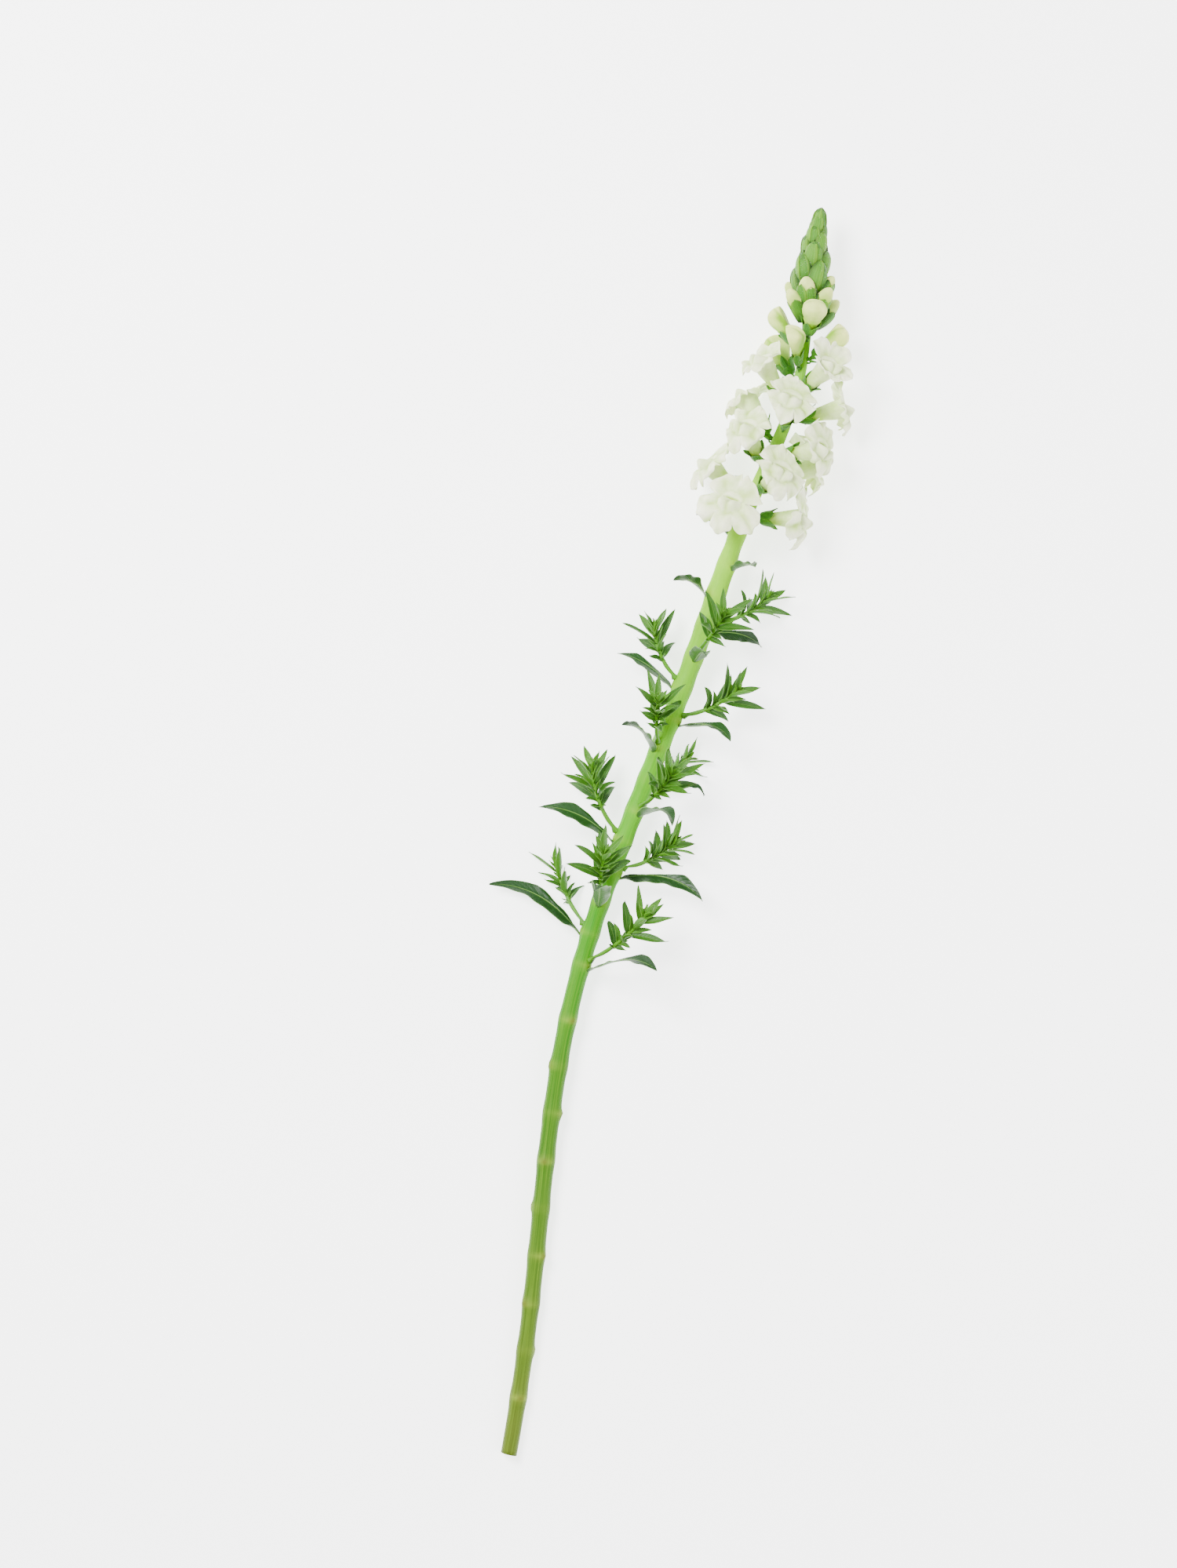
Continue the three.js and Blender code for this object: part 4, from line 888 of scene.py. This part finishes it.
def addBract(bm, bloom, number):
    place, room = bloom["place"], bloom["room"]
    skin = place["skin"]
    root = {**skin, "at": skin["at"] - skin["along"] * bract["below"] - skin["out"] * bract["sunk"]}
    length = float(fittingLength(place["bract"], place["at"], skin["out"], room, press["blade"]))
    space = min(reach - place["at"] @ normal for normal, reach, _ in room["walls"])
    shape = {"length": length, "width": min(bract["width"], 1.6 * space), "belly": 0.62, "leave": 68,
             "curl": 96, "yaw": 6, "twist": 0, "wave": 0}
    addBlade(bm, root, shape, room, bract, root["at"], 0.35 * draw(number, 44), number)


def makeCalyces():
    bm = newShape("along", "across", "under", "shade", "deep")
    for number, bloom in enumerate(flowerPlans + budPlans):
        addCalyx(bm, bloom, number)
        addBract(bm, bloom, number)
    finishPiece(bm, "calycesAndBracts", calyxGreen, "stem_green", "stem")


# The stalk

rind = {
    "sides": 48, "rows": 260, "inset": 0.05,
    "ribs": ((8, 3, 0.04), (13, -5, 0.02)),    # ribs round the stalk, how they wander and how high they stand
    "scar": (2.4, 2.6), "scarHeight": 1.1, "scarTint": 0.8,   # bumps, by their reach along and round it
    "collar": (4.5, 3.2), "collarHeight": 0.8,
    "knot": (9, 5), "knotHeight": 0.1, "knotTint": 0.25,
    "cutFace": ((0, 0.5, 1), (0.3, 0.5, 1), (0.72, 0.5, 0.9), (0.86, 0, 0.45)),   # radius, depth and paleness
}


def bumpsAt(joints, reach, places, turn, radius):   # a bump on the stalk where each leaf grows or grew
    bumps = 0
    for n, t in enumerate(placesOf(joints)):
        aside = (turn - math.radians(azimuthOf(joints["azimuth"], n)) + np.pi) % (2 * np.pi) - np.pi
        along = (places - t) * stalk["length"]
        bumps = bumps + np.exp(-(along / reach[0]) ** 2 - (aside * radius / reach[1]) ** 2)
    return bumps


def makeStalk():
    places = np.linspace(0, spike["headFrom"], rind["rows"])[:, None]
    turn = fullTurn(rind["sides"])
    swell = jointSwell(places)
    radius = plainRadius(places) + stalk["swelling"] * swell ** 2 * (3 - 2 * swell) - rind["inset"]
    around = places, turn, radius
    scar = bumpsAt(bareJoints, rind["scar"], *around)
    collar = bumpsAt(leafyJoints, rind["collar"], *around)
    leafyEnd = leafyJoints["start"] + leafyJoints["count"] * leafyJoints["step"]
    joint = swell ** 6 * (places < leafyEnd)
    knots = sum(bumpsAt(joints, rind["knot"], *around) for joints in (bareJoints, leafyJoints))
    ribs = sum(height * np.cos(count * turn + wander * places) for count, wander, height in rind["ribs"])
    r = radius + ribs + rind["scarHeight"] * scar + rind["collarHeight"] * collar + rind["knotHeight"] * joint
    here = stalkFrame(places[:, 0])
    points = tubeRows(here["at"], here["side"], here["up"], r, turn)
    points[0, :, 1] = 0
    face = [mix(stalkCentre(0), points[:1], share) + vec(0, depth, 0) for share, depth, _ in rind["cutFace"]]
    end = pole(here["at"][-1] + here["along"][-1] * 0.2, points)
    ends = (len(face), 1), (0, 0)
    pith = np.pad(0 * places, ends)
    pith[:len(face), 0] = [paleness for _, _, paleness in rind["cutFace"]]
    bm = newShape("along", "joint", "pith", "scar")
    wrapGrid(bm, ringed(onTable(np.concatenate([*face, points, end]))), along=np.pad(places, ends, "edge"),
             joint=ringed(np.pad(joint * limit(rind["knotTint"] + knots), ends)), pith=pith,
             scar=ringed(np.pad(rind["scarTint"] * scar ** 2, ends)))
    finishPiece(bm, "stalk", waxyStalk, "stem_green", "stem")


# Leaves of the stem

def makeLeaves():
    for plan in leafPlans:
        n, foot = plan["n"], plan["foot"] - plan["root"]["out"] * leaf["sunk"]
        bm = newShape("along", "across", "under", "shade")
        shade = 0.35 * draw(n, 51) + 0.2 * plan["grade"]
        addBlade(bm, plan["root"], plan["shape"], plan["room"], leaf, foot, shade, n)
        finishPiece(bm, f"stemLeaf{n + 1:02d}", darkLeaf, "leaf_green", f"leaf_{n + 1:02d}")


# Side shoots

twig = {"rows": 16, "sides": 10, "radii": (1.45, 0.8), "flare": 0.6, "flareReach": 0.05, "sunk": (1.6, 1.4),
        "past": 1.02}
leaflets = {
    "belly": 0.8, "slimmest": 0.32, "yaw": (-22, 22), "twist": 55, "wave": 0.25, "shadeDraw": 0.25,
    "from": (0.4, 0.98), "least": 12, "more": 13, "lengthDraw": (0.88, 1.15), "leave": (46, 38),
    "curl": (98, 30), "curlDraw": (-10, 10), "widths": (6.4, 4.4),
}
axil = {"below": 0.06, "turn": (60, 110), "lengths": (0.45, 0.65), "leave": 30, "width": 3.6}
tuft = {"from": (0.93, 1), "leave": (34, 6), "curl": (70, 14), "lengths": (10.5, 6), "widths": (3.2, 2)}


def middleHeading(root, shape):   # which way a blade goes halfway along
    lean = math.radians((shape["leave"] + shape["curl"]) * 0.5)
    return root["along"] * math.cos(lean) + root["out"] * math.sin(lean)


def shootLine(plan):
    root, shape = plan["root"], plan["shape"]
    heading = middleHeading(root, shape)
    length = float(fittingLength(shape["length"], root["at"], heading, plan["room"], -shoot["clear"]))
    return {**shape, "length": length}


def addShootStalk(bm, plan, line):
    s = np.linspace(0, 1, twig["rows"])
    here = bladeLine(plan["root"], line, s)
    r = (mix(*twig["radii"], s) + twig["flare"] * np.exp(-s / twig["flareReach"]))[:, None]
    points = tubeRows(here["at"], here["upper"], here["across"], r, fullTurn(twig["sides"]))
    points = np.concatenate([points[:1], bend(points[1:], plan["room"], clear)])
    foot, sunk = (plan["root"]["out"] * depth for depth in twig["sunk"])
    end = bend(bladeLine(plan["root"], line, twig["past"])["at"], plan["room"], clear)
    whole = np.concatenate([pole(plan["foot"] - foot, points), points[:1] - sunk, points, pole(end, points)])
    wrapGrid(bm, onTable(ringed(whole)), along=0.5, across=0.3, under=0.4, shade=0.8)


def addShootLeaf(bm, plan, line, leaflet, number, shade):
    here = bladeLine(plan["root"], line, leaflet["place"])
    turn = math.radians(leaflet["turn"])
    out = here["across"] * math.cos(turn) + here["upper"] * math.sin(turn)
    root = {"at": here["at"], "along": here["along"], "out": out, "cross": np.cross(here["along"], out)}
    heading = middleHeading(root, leaflet)
    length = float(fittingLength(leaflet["length"], root["at"], heading, plan["room"], press["blade"]))
    shape = {**leaflet, "length": length, "width": min(leaflet["width"], leaflets["slimmest"] * length),
             "belly": leaflets["belly"], "yaw": drawn(leaflets["yaw"], number, 23),
             "twist": leaflets["twist"], "wave": leaflets["wave"]}
    shade = shade + leaflets["shadeDraw"] * draw(number, 52)
    addBlade(bm, root, shape, plan["room"], shoot, root["at"], shade, number)


def pairLeaf(plan, pair, side, number):
    up = pair / (plan["pairs"] - 1)
    grown = leaflets["least"] + leaflets["more"] * math.sin(math.pi * mix(0.12, 0.92, up))
    return {"place": mix(*leaflets["from"], up),
            "turn": 90 * pair + 180 * side + 45 + 30 * draw(plan["n"], 15),
            "leave": mix(*leaflets["leave"], up), "length": grown * drawn(leaflets["lengthDraw"], number, 11),
            "curl": mix(*leaflets["curl"], up) + drawn(leaflets["curlDraw"], number, 12),
            "width": mix(*leaflets["widths"], up)}


def axilLeaf(leaflet, number):   # a smaller leaf, between two pairs
    return {**leaflet, "place": leaflet["place"] - axil["below"],
            "turn": leaflet["turn"] + drawn(axil["turn"], number, 53),
            "length": leaflet["length"] * drawn(axil["lengths"], number, 54),
            "leave": axil["leave"], "width": axil["width"]}


def tuftLeaf(plan, k):   # the young leaves at the shoot's tip
    young = k / (shoot["tuft"] - 1)
    return {"place": mix(*tuft["from"], young), "turn": goldenAngle * k + 40 * draw(plan["n"], 55),
            "leave": mix(*tuft["leave"], young), "curl": mix(*tuft["curl"], young),
            "length": mix(*tuft["lengths"], young), "width": mix(*tuft["widths"], young)}


def makeShoots():
    for plan in shootPlans:
        n = plan["n"]
        bm = newShape("along", "across", "under", "shade")
        line = shootLine(plan)
        addShootStalk(bm, plan, line)
        for pair in range(plan["pairs"]):
            for side in (0, 1):
                number = n * 20 + pair * 2 + side
                leaflet = pairLeaf(plan, pair, side, number)
                addShootLeaf(bm, plan, line, leaflet, number, 0.07 * pair)
                addShootLeaf(bm, plan, line, axilLeaf(leaflet, number), number + 300, 0.15 + 0.07 * pair)
        for k in range(shoot["tuft"]):
            addShootLeaf(bm, plan, line, tuftLeaf(plan, k), n * 20 + k + 600, 0.6)
        finishPiece(bm, f"sideShoot{n + 1:02d}", youngLeaf, "shoot_green", f"side_shoot_{n + 1:02d}")


# The head of green buds

greenBud = {
    "rows": 30, "sides": 32, "power": 2.4, "narrowing": 0.14, "depth": 0.85, "hook": 0.06, "sunk": 1.5,
    "shrink": (0.92, 0.94), "clear": 0.5, "cover": (0.62, 0.8), "coneCover": 0.98, "tint": (1.2, 0.22),
    "sepals": 5, "sepalRows": 9, "sepalWidth": 0.8, "sepalFrom": 0.04, "sepalDraw": (0.94, 1.05),
}
core = {
    "rows": 30, "sides": 24, "to": 0.985,
    "profile": ((0.9, 2.6), (0.92, 3.4), (0.938, 5.2), (0.956, 5.4), (0.972, 3.8), (0.984, 1.8)),
    # the core between the buds carries painted shade at half strength
    "layers": {"along": 0.5, "across": 0.2, "under": 0.0, "shade": 0.2, "deep": 0.5},
}


def budRadius(width, s):
    rounding = np.sqrt(np.maximum(0, 1 - np.abs(2 * s - 1) ** greenBud["power"]))
    return 0.5 * width * rounding * (1 - greenBud["narrowing"] * s ** 2)


def budPlace(plan):
    place = plan["place"]
    return {**place, "at": place["at"] - place["rise"] * greenBud["sunk"]}


def addBudBody(bm, plan, shrink, **layers):
    length, width = plan["length"], plan["width"] * shrink
    s, angle = crowded(greenBud["rows"]), fullTurn(greenBud["sides"])
    r = budRadius(width, s)
    v = greenBud["depth"] * r * np.sin(angle) - greenBud["hook"] * width * s ** 3
    points = inBloom(budPlace(plan), r * np.cos(angle), v, s * length)
    wrapGrid(bm, ringed(onTable(bend(points, headRoom, clear + greenBud["clear"]))), **layers)


def addBudSepals(bm, plan, cover, number):
    length, width = plan["length"], plan["width"]
    s = np.linspace(0, 1, greenBud["sepalRows"])
    # how strong the painted shade between buds is: full where they are packed, fading at the top
    crowdShade = 1 - 0.85 * (plan["n"] / (spike["coneBuds"] - 1)) ** 6   # the topmost stand free
    for k in range(greenBud["sepals"]):
        each = number * greenBud["sepals"] + k
        lap = 0.5 * (k % 2) + 0.1
        reach = length * cover * drawn(greenBud["sepalDraw"], each, 61)
        heights = greenBud["sepalFrom"] * length + s * reach
        form = {
            "radius": (s, budRadius(width, np.minimum(heights / length, 1)) * 0.97 + lap),
            "height": (s, heights), "width": width * greenBud["sepalWidth"], "belly": 1.3, "blunt": 0.5,
            "thickness": 0.6, "flat": 0.87, "crowdShade": crowdShade,
        }
        turn = 2 * math.pi * (k + 0.5 * draw(number, 62)) / greenBud["sepals"]
        addSepal(bm, budPlace(plan), turn, headRoom, form, 0.6 * draw(each, 63))


def makeHead():
    bm = newShape("along", "across", "under", "shade", "deep")
    t = np.linspace(spike["headFrom"] + clear / stalk["length"], core["to"], core["rows"])
    here = stalkFrame(t)
    r = np.interp(t, *zip(*core["profile"]))[:, None]
    points = tubeRows(here["at"], here["side"], here["up"], r, fullTurn(core["sides"]))
    points = np.concatenate([pole(here["at"][0], points), points, pole(here["at"][-1], points)])
    wrapGrid(bm, ringed(points), **core["layers"])
    coneShrink, looseShrink = greenBud["shrink"]
    for number, plan in enumerate(loosePlans):
        addBudSepals(bm, plan, mix(*greenBud["cover"], number / len(loosePlans)), number)
    for number, plan in enumerate(conePlans, len(loosePlans)):
        addBudBody(bm, plan, coneShrink, **core["layers"])
        addBudSepals(bm, plan, greenBud["coneCover"], number)
    makeDown(finishPiece(bm, "greenBuds", budGreen, "bud_green", "bud_head"))
    tips = newShape("green", "dot")
    for plan in loosePlans:
        addBudBody(tips, plan, looseShrink, green=mix(*greenBud["tint"], crowded(greenBud["rows"])), dot=0.0)
    finishPiece(tips, "looseBudPetals", creamBud, "pale_bud", "bud_head")


# Down: short white hairs on the green buds, as thin cones

down = {
    "hairs": 3600, "length": 0.95, "lengths": (0.5, 1.15), "thickness": 0.045, "point": 0.004, "seed": 7,
    "middle": 0.95, "facing": 0.3, "inFace": 0.9, "scatter": 0.25, "sweep": (0.1, 0.35, 0),
    "standing": 0.45, "colours": ("#e8efda", "#f8faf2"), "patch": 2,
}


def downMaterial():
    # Plant down: colourless hairs, which catch the light.
    material, tree, shader = newMaterial("whiteDown", 0.5)
    place = addNode(tree, "TexCoord", output="Object")
    patches = addNode(tree, "TexNoise", {"Vector": place, "Scale": 1 / (down["patch"] * mm), "Detail": 3.0})
    dull, bright = (colour(code) for code in down["colours"])
    base = addNode(tree, "Mix", {0: patches, 6: dull, 7: bright}, 2, data_type="RGBA")
    tree.links.new(base, shader.inputs["Base Color"])
    return material


def makeDown(bearer):
    rng = np.random.default_rng(down["seed"])
    bm = bmesh.new()
    inside = stalkFrame(down["middle"])
    middle = (inside["at"] + shift) * mm
    outside = []
    for face in bearer.data.polygons:
        away = np.array(face.center) - middle
        away = away - inside["along"] * (away @ inside["along"])
        if unit(away) @ np.array(face.normal) > down["facing"]:
            outside.append(face)
    area = np.array([face.area for face in outside])
    for index in rng.choice(len(outside), down["hairs"], p=area / area.sum()):
        face = outside[index]
        corner = bearer.data.vertices[face.vertices[int(rng.integers(len(face.vertices)))]].co
        root = face.center.lerp(corner, rng.uniform(0, down["inFace"]))
        scatter = Vector(rng.normal(0, down["scatter"], 3))
        out = (face.normal + scatter + Vector(down["sweep"])).normalized()
        length = down["length"] * mm * rng.uniform(*down["lengths"])
        turned = out.to_track_quat("Z", "Y").to_matrix().to_4x4()
        place = Matrix.Translation(root + out * length * down["standing"]) @ turned
        bmesh.ops.create_cone(bm, cap_ends=True, cap_tris=True, segments=3, depth=length, matrix=place,
                              radius1=down["thickness"] * mm, radius2=down["point"] * mm)
    finishPiece(bm, "budDown", downMaterial(), "bud_green")


makeStalk()
print("stalk made")
makeCalyces()
print("calyces and bracts made")
makeLeaves()
makeShoots()
print("leaves and side shoots made")
makeFlowers()
print("flowers and pale buds made")
makeHead()
print("bud head made")


# Floor, light and camera

stage = {"floor": 24.0, "below": 0.0005, "background": "#fafafa", "glow": 2.8, "room": 0.9}
softboxes = (   # name, place, size across and power
    ("keySoftbox", (-0.9, 0.5, 1.5), 0.8, 78),
    ("fillSoftbox", (1.3, -0.3, 1.3), 1.6, 27.3),
)
view = {"width": 1500, "height": 1999, "tip": (1046, 265), "cut": (648, 1857), "distance": 2.6,
        "stemHeight": 0.015}   # in pixels, and in metres


def makeFloor():
    bm = bmesh.new()
    bmesh.ops.create_grid(bm, x_segments=1, y_segments=1, size=stage["floor"] / 2)
    mesh = bpy.data.meshes.new("floor")
    bm.to_mesh(mesh)
    bm.free()
    floor = bpy.data.objects.new("floor", mesh)
    bpy.context.scene.collection.objects.link(floor)
    material, _, shader = newMaterial("paleFloor", 0.9)   # matt white acrylic, lit a little from below
    shader.inputs["Base Color"].default_value = colour(stage["background"])
    shader.inputs["Emission Color"].default_value = colour(stage["background"])
    shader.inputs["Emission Strength"].default_value = stage["glow"]
    mesh.materials.append(material)
    floor.location.z = -stage["below"]


def makeLight():
    for name, place, size, power in softboxes:
        light = bpy.data.lights.new(name, "AREA")
        light.shape, light.size, light.energy = "DISK", size, power
        lamp = bpy.data.objects.new(name, light)
        bpy.context.scene.collection.objects.link(lamp)
        lamp.location = place
        lamp.rotation_euler = (-Vector(place)).to_track_quat("-Z", "Y").to_euler()
    world = bpy.data.worlds.new("paleRoom")
    bpy.context.scene.world = world
    world.use_nodes = True
    world.node_tree.nodes["Background"].inputs["Color"].default_value = (1, 1, 1, 1)
    world.node_tree.nodes["Background"].inputs["Strength"].default_value = stage["room"]


def makeCamera():   # straight above, rolled so that the stem leans up to the right across the frame
    tip, cut = ((stalkCentre(t) + shift) * mm for t in (1.0, 0))
    framed = Vector((view["tip"][0] - view["cut"][0], view["cut"][1] - view["tip"][1]))
    lying = Vector((tip[0] - cut[0], tip[1] - cut[1]))
    scale = lying.length / framed.length   # metres to a pixel
    roll = math.atan2(lying.y, lying.x) - math.atan2(framed.y, framed.x)
    right = Vector((math.cos(roll), math.sin(roll)))
    upward = Vector((-math.sin(roll), math.cos(roll)))
    aside = view["tip"][0] - view["width"] / 2
    above = view["height"] / 2 - view["tip"][1]
    centre = Vector(tip[:2]) - right * aside * scale - upward * above * scale
    camera = bpy.data.objects.new("camera", bpy.data.cameras.new("camera"))
    bpy.context.scene.collection.objects.link(camera)
    turned = Matrix(((right.x, upward.x, 0), (right.y, upward.y, 0), (0, 0, 1)))
    camera.rotation_euler = turned.to_euler()
    camera.location = (centre.x, centre.y, view["distance"])
    reach = view["distance"] - view["stemHeight"]
    camera.data.lens = camera.data.sensor_width * reach / (view["height"] * scale)
    camera.data.clip_end = 20
    bpy.context.scene.camera = camera


makeFloor()
makeLight()
makeCamera()
print("stage made")
